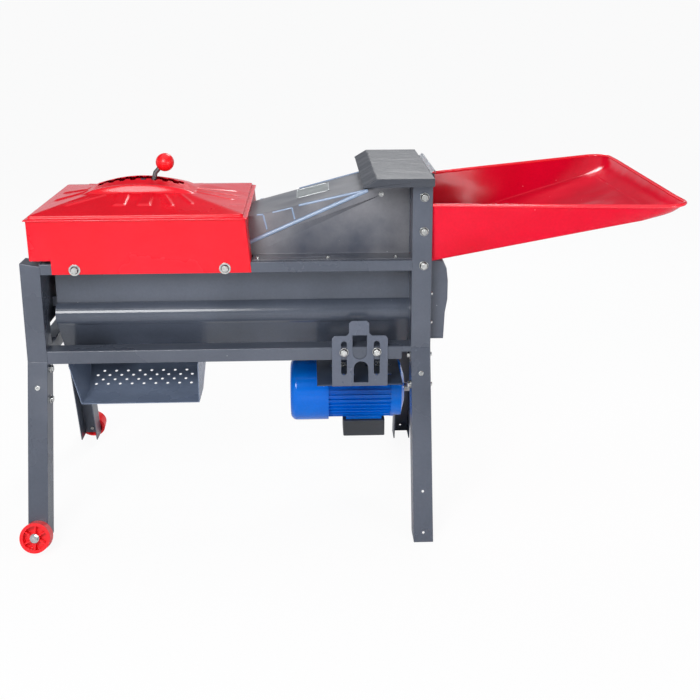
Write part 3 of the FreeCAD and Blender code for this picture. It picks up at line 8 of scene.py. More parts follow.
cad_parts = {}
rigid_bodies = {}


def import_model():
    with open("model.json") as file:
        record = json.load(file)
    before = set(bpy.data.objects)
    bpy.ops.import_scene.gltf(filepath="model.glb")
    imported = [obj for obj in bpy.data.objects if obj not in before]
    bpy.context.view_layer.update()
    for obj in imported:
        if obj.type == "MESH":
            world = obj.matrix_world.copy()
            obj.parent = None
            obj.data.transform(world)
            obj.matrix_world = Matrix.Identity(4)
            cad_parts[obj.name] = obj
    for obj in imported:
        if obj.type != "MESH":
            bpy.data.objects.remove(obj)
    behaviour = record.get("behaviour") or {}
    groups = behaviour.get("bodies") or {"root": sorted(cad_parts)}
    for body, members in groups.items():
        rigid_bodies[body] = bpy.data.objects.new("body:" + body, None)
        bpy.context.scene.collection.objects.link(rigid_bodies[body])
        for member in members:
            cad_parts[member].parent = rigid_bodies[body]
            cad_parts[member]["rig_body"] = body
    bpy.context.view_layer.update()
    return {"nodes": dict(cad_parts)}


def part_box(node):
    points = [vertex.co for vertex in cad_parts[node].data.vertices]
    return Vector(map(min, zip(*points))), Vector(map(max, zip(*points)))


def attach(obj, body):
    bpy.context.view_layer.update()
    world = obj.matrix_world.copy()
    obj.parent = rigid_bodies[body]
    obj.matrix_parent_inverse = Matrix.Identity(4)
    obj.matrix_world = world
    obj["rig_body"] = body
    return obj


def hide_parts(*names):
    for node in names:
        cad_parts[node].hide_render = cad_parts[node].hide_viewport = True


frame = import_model()
node = frame["nodes"]

# Posts and legs: 3 mm steel channel, folded, sprayed slate grey and bolted
# together over an inner connector. X places below are measured from the
# outer face of the posts at the cob end.
cob_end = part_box("near_left_post")[0].x


def sprayed(name, deep, full, rough, peel, wave, wave_scale=9.0, wave_detail=1.0, gloss=0.5,
            speck=(0.45, 0.46, 0.48)):
    # Sprayed paint: slow drift of tone, fine grain of the spray, stray pale
    # specks of dust, an orange-peel skin and the sway of thin sheet below it.
    paint = bpy.data.materials.new(name)
    paint.use_nodes = True
    tree = paint.node_tree
    shader = tree.nodes["Principled BSDF"]
    shader.inputs["Specular IOR Level"].default_value = gloss
    place = tree.nodes.new("ShaderNodeTexCoord")
    drift = tree.nodes.new("ShaderNodeTexNoise")
    drift.inputs["Scale"].default_value = 4.0
    drift.inputs["Detail"].default_value = 5.0
    tone = tree.nodes.new("ShaderNodeValToRGB")
    tone.color_ramp.elements[0].position = 0.3
    tone.color_ramp.elements[0].color = (*deep, 1)
    tone.color_ramp.elements[1].position = 0.7
    tone.color_ramp.elements[1].color = (*full, 1)
    grain = tree.nodes.new("ShaderNodeTexNoise")
    grain.inputs["Scale"].default_value = 160.0
    grain.inputs["Detail"].default_value = 3.0
    grain_tone = tree.nodes.new("ShaderNodeMapRange")
    grain_tone.inputs["To Min"].default_value = 0.9
    grain_tone.inputs["To Max"].default_value = 1.1
    grained = tree.nodes.new("ShaderNodeVectorMath")
    grained.operation = "SCALE"
    dust = tree.nodes.new("ShaderNodeTexVoronoi")
    dust.inputs["Scale"].default_value = 17.0
    dust_edge = tree.nodes.new("ShaderNodeMapRange")
    dust_edge.inputs["From Min"].default_value = 0.018
    dust_edge.inputs["From Max"].default_value = 0.026
    dust_edge.inputs["To Min"].default_value = 0.75
    dust_edge.inputs["To Max"].default_value = 0.0
    dusted = tree.nodes.new("ShaderNodeMix")
    dusted.data_type = "RGBA"
    dusted.inputs[7].default_value = (*speck, 1)
    sheen = tree.nodes.new("ShaderNodeMapRange")
    sheen.inputs["To Min"].default_value = rough - 0.06
    sheen.inputs["To Max"].default_value = rough + 0.08
    skin = tree.nodes.new("ShaderNodeTexNoise")
    skin.inputs["Scale"].default_value = 420.0
    skin.inputs["Detail"].default_value = 2.0
    bump = tree.nodes.new("ShaderNodeBump")
    bump.inputs["Strength"].default_value = peel
    bump.inputs["Distance"].default_value = 0.0004
    sway = tree.nodes.new("ShaderNodeTexNoise")
    sway.inputs["Scale"].default_value = wave_scale
    sway.inputs["Detail"].default_value = wave_detail
    dents = tree.nodes.new("ShaderNodeBump")
    dents.inputs["Strength"].default_value = wave
    dents.inputs["Distance"].default_value = 0.012
    for pattern in (drift, grain, dust, skin, sway):
        tree.links.new(place.outputs["Object"], pattern.inputs["Vector"])
    tree.links.new(drift.outputs["Fac"], tone.inputs["Fac"])
    tree.links.new(tone.outputs["Color"], grained.inputs[0])
    tree.links.new(grain.outputs["Fac"], grain_tone.inputs["Value"])
    tree.links.new(grain_tone.outputs["Result"], grained.inputs["Scale"])
    tree.links.new(grained.outputs["Vector"], dusted.inputs[6])
    tree.links.new(dust.outputs["Distance"], dust_edge.inputs["Value"])
    tree.links.new(dust_edge.outputs["Result"], dusted.inputs[0])
    tree.links.new(dusted.outputs[2], shader.inputs["Base Color"])
    tree.links.new(drift.outputs["Fac"], sheen.inputs["Value"])
    tree.links.new(sheen.outputs["Result"], shader.inputs["Roughness"])
    tree.links.new(sway.outputs["Fac"], dents.inputs["Height"])
    tree.links.new(dents.outputs["Normal"], bump.inputs["Normal"])
    tree.links.new(skin.outputs["Fac"], bump.inputs["Height"])
    tree.links.new(bump.outputs["Normal"], shader.inputs["Normal"])
    return paint


def merged_copy(name):
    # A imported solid's loose triangles joined into whole flat faces.
    shape = bmesh.new()
    shape.from_mesh(node[name].data)
    bmesh.ops.remove_doubles(shape, verts=shape.verts, dist=0.00001)
    bmesh.ops.dissolve_limit(shape, angle_limit=math.radians(0.5), verts=shape.verts, edges=shape.edges)
    return shape


def folded_sheet(name, paint, wall, fold, edge, smooth=32):
    # The same part with the press brake's bend radius along its folds and a
    # small broken edge round the cut sides of the sheet.
    shape = merged_copy(name)
    weight = shape.edges.layers.float.new("bevel_weight_edge")
    for line in shape.edges:
        if len(line.link_faces) != 2 or line.calc_face_angle(0) < math.radians(smooth):
            continue
        line.smooth = False
        if line.calc_length() < edge * 3:
            continue
        widths = [2 * face.calc_area() / face.calc_perimeter() for face in line.link_faces]
        line[weight] = edge / fold if min(widths) < wall * 1.4 else 1.0
    for face in shape.faces:
        face.smooth = True
    made = bpy.data.meshes.new(name + "_folded")
    shape.to_mesh(made)
    shape.free()
    part = bpy.data.objects.new(name + "_folded", made)
    bpy.context.scene.collection.objects.link(part)
    rounding = part.modifiers.new("folds", "BEVEL")
    rounding.limit_method = "WEIGHT"
    rounding.width = fold
    rounding.segments = 3
    rounding.use_clamp_overlap = False
    rounding.harden_normals = True
    part.data.materials.append(paint)
    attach(part, node[name]["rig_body"])
    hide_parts(name)


slate = sprayed("slate_paint", (0.062, 0.072, 0.096), (0.092, 0.104, 0.134),
                rough=0.27, peel=0.10, wave=0.35)
for name in ("near_left_post", "far_left_post", "near_right_post", "far_right_post",
             "near_left_leg", "far_left_leg", "near_right_leg", "far_right_leg"):
    folded_sheet(name, slate, wall=0.003, fold=0.0025, edge=0.0006)


def finish_node(name, paint):
    # A CAD node whose shape is right, in its own paint.
    node[name].data.materials.clear()
    node[name].data.materials.append(paint)


finish_node("leg_connectors", slate)

# Rails: folded channels welded between the posts, with plain cross rails at
# both ends, all in the same slate paint.
for name in ("near_lower_rail", "far_lower_rail", "near_upper_rail", "far_upper_rail"):
    folded_sheet(name, slate, wall=0.003, fold=0.003, edge=0.0006)
finish_node("cross_rails", slate)


# Welds: short seams of overlapping drops, laid by hand where the rails meet
# the posts and where the feed cover's sides meet the tall posts.
def trim_tree(name, **sizes):
    # A Geometry Nodes tree with named inputs, which starts from the lines of
    # a seed mesh and ends in Realize Instances and Set Material.
    tree = bpy.data.node_groups.new(name, "GeometryNodeTree")
    for label, kind in (("Lines", "Geometry"), *sizes.items(), ("Paint", "Material")):
        tree.interface.new_socket(name=label, in_out="INPUT", socket_type="NodeSocket" + kind)
    tree.interface.new_socket(name="Trims", in_out="OUTPUT", socket_type="NodeSocketGeometry")
    given = tree.nodes.new("NodeGroupInput")
    curves = tree.nodes.new("GeometryNodeMeshToCurve")
    real = tree.nodes.new("GeometryNodeRealizeInstances")
    painted = tree.nodes.new("GeometryNodeSetMaterial")
    ready = tree.nodes.new("NodeGroupOutput")
    tree.links.new(given.outputs["Lines"], curves.inputs["Mesh"])
    tree.links.new(real.outputs["Geometry"], painted.inputs["Geometry"])
    tree.links.new(given.outputs["Paint"], painted.inputs["Material"])
    tree.links.new(painted.outputs["Geometry"], ready.inputs["Trims"])
    return tree, given, curves, real


def trims(name, tree, lines, paint, sizes, closed=False):
    # What a tree sets out along lines, whose X places are measured from the
    # cob end, made into one plain mesh that rides on the frame.
    places, links = [], []
    for line in lines:
        first = len(places)
        places += [(x + cob_end, y, z) for x, y, z in line]
        links += [(i, i + 1) for i in range(first, len(places) - 1)]
        if closed:
            links.append((len(places) - 1, first))
    seed = bpy.data.meshes.new(name + "_seed")
    seed.from_pydata(places, links, [])
    carrier = bpy.data.objects.new(name + "_seed", seed)
    bpy.context.scene.collection.objects.link(carrier)
    setting = carrier.modifiers.new("trims", "NODES")
    setting.node_group = tree
    given = {**sizes, "Paint": paint}
    for item in tree.interface.items_tree:
        if item.name in given:
            setting[item.identifier] = given[item.name]
    made = bpy.data.meshes.new_from_object(carrier.evaluated_get(bpy.context.evaluated_depsgraph_get()))
    bpy.data.objects.remove(carrier)
    part = bpy.data.objects.new(name, made)
    bpy.context.scene.collection.objects.link(part)
    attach(part, "frame")


weld_tree, weld_given, weld_curves, weld_real = trim_tree("weld_seams", Drop="Float", Pitch="Float")
weld_places = weld_tree.nodes.new("GeometryNodeCurveToPoints")
weld_places.mode = "LENGTH"
weld_drop = weld_tree.nodes.new("GeometryNodeMeshIcoSphere")
weld_drop.inputs["Subdivisions"].default_value = 2
weld_size = weld_tree.nodes.new("FunctionNodeRandomValue")
weld_size.inputs[2].default_value = 0.75
weld_size.inputs[3].default_value = 1.15
weld_size.inputs["Seed"].default_value = 4
weld_set = weld_tree.nodes.new("GeometryNodeInstanceOnPoints")
weld_smooth = weld_tree.nodes.new("GeometryNodeSetShadeSmooth")
weld_tree.links.new(weld_curves.outputs["Curve"], weld_places.inputs["Curve"])
weld_tree.links.new(weld_given.outputs["Pitch"], weld_places.inputs["Length"])
weld_tree.links.new(weld_given.outputs["Drop"], weld_drop.inputs["Radius"])
weld_tree.links.new(weld_places.outputs["Points"], weld_set.inputs["Points"])
weld_tree.links.new(weld_drop.outputs["Mesh"], weld_smooth.inputs["Geometry"])
weld_tree.links.new(weld_smooth.outputs["Geometry"], weld_set.inputs["Instance"])
weld_tree.links.new(weld_size.outputs[1], weld_set.inputs["Scale"])
weld_tree.links.new(weld_set.outputs["Instances"], weld_real.inputs["Geometry"])

frame_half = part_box("far_lower_rail")[1].y
rail_left, rail_right = (corner.x - cob_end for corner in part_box("near_lower_rail"))
rail_levels = [[corner.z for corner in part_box(name)] for name in ("near_lower_rail", "near_upper_rail")]
seam_sink, seam_gap, flange_seam = 0.0005, 0.003, 0.042
cover_side, cover_seam_low, cover_seam_high = 0.1455, 0.716, 0.890
seams = []
for side in (-1, 1):
    web, fold = side * (frame_half - seam_sink), side * (frame_half - seam_gap)
    for x in (rail_left, rail_right):
        for low, high in rail_levels:
            seams.append(((x, web, low + seam_gap), (x, web, high - seam_gap)))
            seams.append(((x, fold, high), (x, fold - side * flange_seam, high)))
    seams.append([(rail_right, side * cover_side, z) for z in (cover_seam_low, cover_seam_high)])
trims("frame_welds", weld_tree, seams, slate, {"Drop": 0.0019, "Pitch": 0.0016})

# End plates, casing panels, screen, pan and slide: 2 and 3 mm sheet that
# closes the threshing space. The casing panels are rolled into a long bead.
for name in ("left_end_plate", "right_end_plate"):
    folded_sheet(name, slate, wall=0.003, fold=0.001, edge=0.0005)
for name in ("concave_screen", "grain_pan", "cob_slide"):
    finish_node(name, slate)
casing_grey = sprayed("casing_paint", (0.052, 0.062, 0.084), (0.082, 0.094, 0.124),
                      rough=0.18, peel=0.06, wave=0.15)
for name in ("near_casing_panel", "far_casing_panel"):
    finish_node(name, casing_grey)


# Rotor: steel drum with welded pegs on a turned shaft, run in plain black
# bearing blocks and driven by cast pulleys.
def plated(name, deep, full, rough, metal, scale):
    # Bare or plated metal: cloudy tone and finely scratched polish.
    finish = bpy.data.materials.new(name)
    finish.use_nodes = True
    tree = finish.node_tree
    shader = tree.nodes["Principled BSDF"]
    shader.inputs["Metallic"].default_value = metal
    place = tree.nodes.new("ShaderNodeTexCoord")
    cloud = tree.nodes.new("ShaderNodeTexNoise")
    cloud.inputs["Scale"].default_value = scale
    cloud.inputs["Detail"].default_value = 4.0
    tone = tree.nodes.new("ShaderNodeValToRGB")
    tone.color_ramp.elements[0].position = 0.32
    tone.color_ramp.elements[0].color = (*deep, 1)
    tone.color_ramp.elements[1].position = 0.66
    tone.color_ramp.elements[1].color = (*full, 1)
    polish = tree.nodes.new("ShaderNodeMapRange")
    polish.inputs["To Min"].default_value = rough - 0.08
    polish.inputs["To Max"].default_value = rough + 0.12
    grit = tree.nodes.new("ShaderNodeTexNoise")
    grit.inputs["Scale"].default_value = scale * 12
    bump = tree.nodes.new("ShaderNodeBump")
    bump.inputs["Strength"].default_value = 0.12
    bump.inputs["Distance"].default_value = 0.0003
    tree.links.new(place.outputs["Object"], cloud.inputs["Vector"])
    tree.links.new(place.outputs["Object"], grit.inputs["Vector"])
    tree.links.new(cloud.outputs["Fac"], tone.inputs["Fac"])
    tree.links.new(tone.outputs["Color"], shader.inputs["Base Color"])
    tree.links.new(cloud.outputs["Fac"], polish.inputs["Value"])
    tree.links.new(polish.outputs["Result"], shader.inputs["Roughness"])
    tree.links.new(grit.outputs["Fac"], bump.inputs["Height"])
    tree.links.new(bump.outputs["Normal"], shader.inputs["Normal"])
    return finish


turned_steel = plated("turned_steel", (0.42, 0.42, 0.41), (0.62, 0.62, 0.60),
                      rough=0.34, metal=1.0, scale=60)
cast_iron = plated("cast_iron", (0.05, 0.05, 0.055), (0.10, 0.10, 0.105),
                   rough=0.55, metal=0.4, scale=90)
for name in ("drum", "drum_pegs"):
    finish_node(name, slate)
for name in ("rotor_shaft", "motor_shaft", "pivot_rods", "link_rod"):
    finish_node(name, turned_steel)
for name in ("rotor_bearings", "drum_pulley", "motor_pulley"):
    finish_node(name, cast_iron)

# V-belt: black rubber with a fabric jacket, its weave running across. It is
# moulded in one loop and stretched over the drum's and the motor's pulley.
rubber = bpy.data.materials.new("belt_rubber")
rubber.use_nodes = True
weave_tree = rubber.node_tree
weave_shader = weave_tree.nodes["Principled BSDF"]
weave_shader.inputs["Roughness"].default_value = 0.7
weave_place = weave_tree.nodes.new("ShaderNodeTexCoord")
weave = weave_tree.nodes.new("ShaderNodeTexWave")
weave.inputs["Scale"].default_value = 300.0
weave.inputs["Distortion"].default_value = 1.5
weave_tone = weave_tree.nodes.new("ShaderNodeValToRGB")
weave_tone.color_ramp.elements[0].color = (0.012, 0.012, 0.012, 1)
weave_tone.color_ramp.elements[1].color = (0.035, 0.034, 0.032, 1)
weave_bump = weave_tree.nodes.new("ShaderNodeBump")
weave_bump.inputs["Strength"].default_value = 0.3
weave_bump.inputs["Distance"].default_value = 0.0003
weave_tree.links.new(weave_place.outputs["Object"], weave.inputs["Vector"])
weave_tree.links.new(weave.outputs["Fac"], weave_tone.inputs["Fac"])
weave_tree.links.new(weave_tone.outputs["Color"], weave_shader.inputs["Base Color"])
weave_tree.links.new(weave.outputs["Fac"], weave_bump.inputs["Height"])
weave_tree.links.new(weave_bump.outputs["Normal"], weave_shader.inputs["Normal"])
finish_node("v_belt", rubber)

# Belt guard: bowed cover of 2 mm sheet, folded round the belt, with ears
# that are screwed to the tall posts.
folded_sheet("belt_guard", slate, wall=0.002, fold=0.003, edge=0.0005, smooth=14)

# Lid: one steel pressing, hipped, with a raised crest, stiffening ribs, a
# rolled flange, a skirt on all sides and a toothed slot for the lever.
flange_x, flange_y, flare_reach = 0.010, 0.013, 0.012
lid_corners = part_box("lid")
roof_left = lid_corners[0].x - cob_end + flange_x
roof_half = lid_corners[1].y - flange_y
roof_right, roof_low = 0.558, 0.836
side_pitch, left_pitch, right_pitch, hip_blend = 0.1576, 0.208, 0.1625, 0.0016
crest_foot, crest_blend = 0.862, 0.0012
crest_left, crest_right, crest_half, crest_soft = 0.1305, 0.4255, 0.060, 0.010
crest_rise, crest_fall, ridge_y, ridge_round = 0.034, 0.013, 0.014, 0.004
pad_runs, pad_in, pad_out, pad_soft, pad_rise = ((0.228, 0.258), (0.289, 0.321)), 0.068, 0.156, 0.006, 0.0032
# Each rib's start and end, half width and height, for both sides of the lid.
lid_ribs = (((0.193, 0.076), (0.112, 0.150), 0.010, 0.0028), ((0.347, 0.078), (0.375, 0.158), 0.010, 0.0026),
            ((0.388, 0.076), (0.424, 0.146), 0.009, 0.0020), ((0.426, 0.026), (0.520, 0.060), 0.010, 0.0017),
            ((0.430, 0.000), (0.528, 0.000), 0.010, 0.0017), ((0.134, 0.020), (0.066, 0.052), 0.012, 0.0032))


def eased(value):
    # From 0 to 1 with a soft start and end.
    value = min(1.0, max(0.0, value))
    return value * value * (3 - 2 * value)


def lower_of(a, b, blend):
    # The lower of two heights, with their crossing rounded.
    mix = max(blend - abs(a - b), 0) / blend
    return min(a, b) - mix * mix * blend / 4


def rib(x, y, start, end, half_width, height):
    # Height of a pressed rib of round section along a straight line.
    run_x, run_y = end[0] - start[0], end[1] - start[1]
    along = ((x - start[0]) * run_x + (y - start[1]) * run_y) / (run_x ** 2 + run_y ** 2)
    along = min(1.0, max(0.0, along))
    away = math.hypot(x - start[0] - along * run_x, y - start[1] - along * run_y)
    return height * eased(1 - away / half_width)


def pad(x, side, left, right):
    # Height of a flat pressed pad with soft edges.
    inside_x = eased((x - left) / pad_soft + 0.5) * eased((right - x) / pad_soft + 0.5)
    inside_y = eased((side - pad_in) / pad_soft + 0.5) * eased((pad_out - side) / pad_soft + 0.5)
    return pad_rise * inside_x * inside_y


def roof_height(x, y):
    side = abs(y)
    slope = lower_of((roof_half - side) * side_pitch, (x - roof_left) * left_pitch, hip_blend)
    slope = roof_low + lower_of(slope, (roof_right - x) * right_pitch, hip_blend)
    slope = lower_of(slope, crest_foot, crest_blend)
    bow = (x - (crest_left + crest_right) / 2) / ((crest_right - crest_left) / 2)
    bow = max(0.0, 1 - bow * bow)
    peak = crest_rise - crest_fall * min(1.0, math.hypot(y - ridge_y, ridge_round) / crest_half)
    slope += peak * bow * (1 - eased((side - crest_half) / crest_soft + 0.4))
    for left, right in pad_runs:
        slope += pad(x, side, left, right)
    for start, end, half_width, height in lid_ribs:
        slope += rib(x, side, start, end, half_width, height)
    return slope


# Columns of the lid's mesh follow the slot's notches, and its rows lie close
# where the crest rises and run straight beyond 30 mm from the slot.
slot_left, slot_pitch, slot_notches, slot_half = 0.165, 0.0281, 8, 0.008
notch_depth, notch_share, flank_share = 0.010, 0.6, 0.1
slot_end = slot_left + slot_pitch * slot_notches
corner_x, column_step = 0.0846, 0.003
columns = [roof_left, corner_x]
for i in range(slot_notches):
    for share in (0.0, flank_share, notch_share - flank_share, notch_share):
        columns.append(slot_left + slot_pitch * (i + share))
columns += [slot_end, roof_right]
lid_x = []
for a, b in zip(columns, columns[1:]):
    steps = max(1, round((b - a) / column_step))
    lid_x += [a + (b - a) * i / steps for i in range(steps)]
lid_x.append(roof_right)
rise_out, rise_in, steady = 0.074, 0.046, 0.030
side_ways = []
for a, b, steps in ((roof_half, rise_out, 42), (rise_out, rise_in, 18), (rise_in, steady, 4)):
    side_ways += [a + (b - a) * i / steps for i in range(steps)]
lip_rows, slot_rows = 6, 4
side_rows = len(side_ways) + lip_rows


def slot_edge(x, shift):
    # Half width of the slot, with steep-sided notches. A shift of half a
    # pitch sets the far side's notches opposite the near side's teeth.
    if x <= slot_left or x >= slot_end:
        return slot_half
    share = ((x - slot_left) / slot_pitch + shift) % 1.0
    return slot_half + notch_depth * min(1.0, max(0.0, min(share, notch_share - share) / flank_share))


def rounded_place(x, y, x0, x1, half, radius):
    # Moves a point of a rectangle's corner onto the corner's arc.
    cx = x0 + radius if x < x0 + radius else x1 - radius if x > x1 - radius else x
    cy = -half + radius if y < -half + radius else half - radius if y > half - radius else y
    reach = math.hypot(x - cx, y - cy)
    if x == cx or y == cy or reach < radius:
        return x, y
    return cx + (x - cx) * radius / reach, cy + (y - cy) * radius / reach


corner_radius = 0.005
lid_points, lid_faces, lid_rows = [], [], []
for x in lid_x:
    near_edge, far_edge = -slot_edge(x, 0.0), slot_edge(x, 0.5)
    row = [-y for y in side_ways]
    row += [-steady + (near_edge + steady) * j / lip_rows for j in range(lip_rows)]
    row += [near_edge + (far_edge - near_edge) * j / slot_rows for j in range(slot_rows)]
    row += [far_edge + (steady - far_edge) * j / lip_rows for j in range(lip_rows)]
    row += [steady] + side_ways[::-1]
    lid_rows.append(row)
    for y in row:
        px, py = rounded_place(x, y, roof_left, roof_right, roof_half, corner_radius)
        lid_points.append((px + cob_end, py, roof_height(x, y)))
row_count = len(lid_rows[0])
for i in range(len(lid_x) - 1):
    middle = (lid_x[i] + lid_x[i + 1]) / 2
    for j in range(row_count - 1):
        if slot_left < middle < slot_end and side_rows <= j < side_rows + slot_rows:
            continue
        a = i * row_count + j
        lid_faces.append((a, a + row_count, a + row_count + 1, a + 1))
last = len(lid_x) - 1
border = [i * row_count for i in range(last)]
border += [last * row_count + j for j in range(row_count - 1)]
border += [i * row_count + row_count - 1 for i in range(last, 0, -1)]
border += [j for j in range(row_count - 1, 0, -1)]
border_places = [(lid_x[k // row_count], lid_rows[k // row_count][k % row_count]) for k in border]

# Rings below the roof: step, flange with rolled edge, then the skirt, which
# leans in towards its lower edge and flares past the feed cover.
flange_profile = (
    (0.03, 0.8356), (0.07, 0.8346), (0.09, 0.8322), (0.11, 0.8300), (0.17, 0.8286), (0.28, 0.8280),
    (0.86, 0.8279), (0.95, 0.8276), (1.0, 0.8266), (1.0, 0.8254), (0.94, 0.8246))
skirt_left, skirt_right = 0.026, lid_corners[1].x - cob_end - flare_reach
skirt_half, skirt_lean, skirt_top, skirt_low = 0.232, 0.010, 0.828, lid_corners[0].z
flare_top, flare_half, flare_soft = 0.822, 0.148, 0.02
mouth_z, mouth_half, wall_z, wall_half, corner_z, end_z = 0.745, 0.149, 0.735, 0.155, 0.722, 0.712
rings = []
for share, z in flange_profile:
    out_x, out_y = flange_x * share, flange_y * share
    rings.append((roof_left - out_x, roof_right + out_x, roof_half + out_y, z))
for z in (0.8242, flare_top, 0.800, 0.780, 0.760, mouth_z, wall_z, corner_z, end_z, 0.700, 0.690, skirt_low):
    share = (skirt_top - z) / (skirt_top - skirt_low)
    rings.append((skirt_left, skirt_right, skirt_half - skirt_lean * share, z))
previous = border
for x0, x1, half, z in rings:
    flare = flare_reach * max(0.0, (flare_top - z) / (flare_top - skirt_low))
    current = []
    for bx, by in border_places:
        y = half * by / roof_half
        right = x1 + flare * eased((abs(y) - flare_half) / flare_soft)
        x = x0 + (right - x0) * (bx - roof_left) / (roof_right - roof_left)
        x, y = rounded_place(x, y, x0, right, half, corner_radius)
        current.append(len(lid_points))
        lid_points.append((x + cob_end, y, z))
    for i in range(len(border)):
        k = (i + 1) % len(border)
        bx = (border_places[i][0] + border_places[k][0]) / 2
        by = (border_places[i][1] + border_places[k][1]) / 2
        at_left, at_right = bx < roof_left + 0.001, bx > roof_right - 0.001
        # The skirt is cut away over the corner at the cob end, where the end
        # plate stands, and where the feed cover runs in.
        if z < corner_z and bx < corner_x:
            continue
        if at_left and z < wall_z and abs(by) < wall_half:
            continue
        if at_right and (z < end_z or z < mouth_z and abs(by) < mouth_half):
            continue
        lid_faces.append((previous[i], current[i], current[k], previous[k]))
    previous = current


def walled(mesh, gauge, offset=-1, fold=0.0):
    # A pressed surface with its wall, and a bend radius on creased edges.
    skin = bpy.data.objects.new(mesh.name + "_skin", mesh)
    bpy.context.scene.collection.objects.link(skin)
    if fold:
        bend = skin.modifiers.new("fold", "BEVEL")
        bend.limit_method = "WEIGHT"
        bend.width = fold
        bend.segments = 3
        bend.use_clamp_overlap = False
    wall = skin.modifiers.new("gauge", "SOLIDIFY")
    wall.thickness = gauge
    wall.offset = offset
    made = bpy.data.meshes.new_from_object(skin.evaluated_get(bpy.context.evaluated_depsgraph_get()))
    bpy.data.objects.remove(skin)
    return made


lid_mesh = bpy.data.meshes.new("lid_pressing")
lid_mesh.from_pydata(lid_points, [], lid_faces)
shell = bmesh.new()
shell.from_mesh(lid_mesh)
bmesh.ops.delete(shell, geom=[v for v in shell.verts if not v.link_faces], context="VERTS")
for face in shell.faces:
    face.smooth = True
shell.to_mesh(lid_mesh)
shell.free()
lid_made = walled(lid_mesh, gauge=0.0018)
lid_made.set_sharp_from_angle(angle=math.radians(50))
lid = bpy.data.objects.new("lid_pressing", lid_made)
bpy.context.scene.collection.objects.link(lid)
signal_red = sprayed("red_paint", (0.70, 0.001, 0.010), (0.84, 0.003, 0.018),
                     rough=0.25, peel=0.03, wave=0.22, gloss=0.36, speck=(0.95, 0.25, 0.28))
lid_made.materials.append(signal_red)
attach(lid, "frame")
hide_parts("lid")
finish_node("lid_brackets", slate)

# Rolled edge and rivets of the lid: the flange's rim is turned under all
# round, and two rivets a side close the skirt's corners at the cob end.
bead_tree, bead_given, bead_curves, bead_real = trim_tree("pressed_beads", Radius="Float", Steps="Int")
bead_step = bead_tree.nodes.new("GeometryNodeResampleCurve")
bead_round = bead_tree.nodes.new("GeometryNodeCurvePrimitiveCircle")
bead_round.inputs["Resolution"].default_value = 12
bead_sweep = bead_tree.nodes.new("GeometryNodeCurveToMesh")
bead_sweep.inputs["Fill Caps"].default_value = True
bead_smooth = bead_tree.nodes.new("GeometryNodeSetShadeSmooth")
bead_tree.links.new(bead_curves.outputs["Curve"], bead_step.inputs["Curve"])
bead_tree.links.new(bead_given.outputs["Steps"], bead_step.inputs["Count"])
bead_tree.links.new(bead_given.outputs["Radius"], bead_round.inputs["Radius"])
bead_tree.links.new(bead_step.outputs["Curve"], bead_sweep.inputs["Curve"])
bead_tree.links.new(bead_round.outputs["Curve"], bead_sweep.inputs["Profile Curve"])
bead_tree.links.new(bead_sweep.outputs["Mesh"], bead_smooth.inputs["Geometry"])
bead_tree.links.new(bead_smooth.outputs["Geometry"], bead_real.inputs["Geometry"])

# A paler, glossier red for the rolled rims of the lid and the tray: painted highlight along them.
painted_highlight_red = sprayed("painted_highlight_red", (0.90, 0.010, 0.030), (0.98, 0.030, 0.050),
                   rough=0.12, peel=0.03, wave=0.0, speck=(0.95, 0.35, 0.38))
edge_out, edge_half, edge_z = 0.0095, roof_half + flange_y, 0.8266
edge_line = [(roof_left - edge_out, -edge_half, edge_z), (roof_right + edge_out, -edge_half, edge_z),
             (roof_right + edge_out, edge_half, edge_z), (roof_left - edge_out, edge_half, edge_z)]
trims("lid_rolled_edge", bead_tree, [edge_line], painted_highlight_red, {"Radius": 0.0016, "Steps": 161},
      closed=True)
rivets = []
for side in (-1, 1):
    for x, y, z in ((0.0325, 0.2290, 0.7876), (0.0313, 0.2265, 0.7517)):
        rivets.append([(x + dx, side * y, z) for dx in (-0.0005, 0.0005)])
trims("lid_rivets", weld_tree, rivets, signal_red, {"Drop": 0.0030, "Pitch": 0.002})

# Lever, its knob, the gate it swings: a bent plated rod with a moulded red
# ball screwed on, and a steel flap below the lid.
moulded_red = sprayed("red_plastic", (0.82, 0.006, 0.012), (0.94, 0.012, 0.018),
                      rough=0.32, peel=0.05, wave=0.0, speck=(0.95, 0.25, 0.25))
dull_rod = plated("dull_rod", (0.10, 0.10, 0.11), (0.20, 0.20, 0.20), rough=0.42, metal=0.8, scale=50)
finish_node("lever", dull_rod)
finish_node("lever_knob", moulded_red)
finish_node("cob_gate", slate)

# Feed cover: folded sheet with a gabled end, stiffened by pressed ribs in
# its near and far slopes, with beads along its lower folds and crest.
# Its tone drifts in broad patches from near black to pale grey: partly the paint's own drift of tone, partly
# painted reflection.
cover_slate_and_painted_reflections = sprayed("cover_paint_and_painted_reflections", (0.020, 0.030, 0.056), (0.250, 0.246, 0.258),
                     rough=0.34, peel=0.08, wave=0.55)
folded_sheet("feed_cover", cover_slate_and_painted_reflections, wall=0.002, fold=0.0025, edge=0.0005, smooth=5)
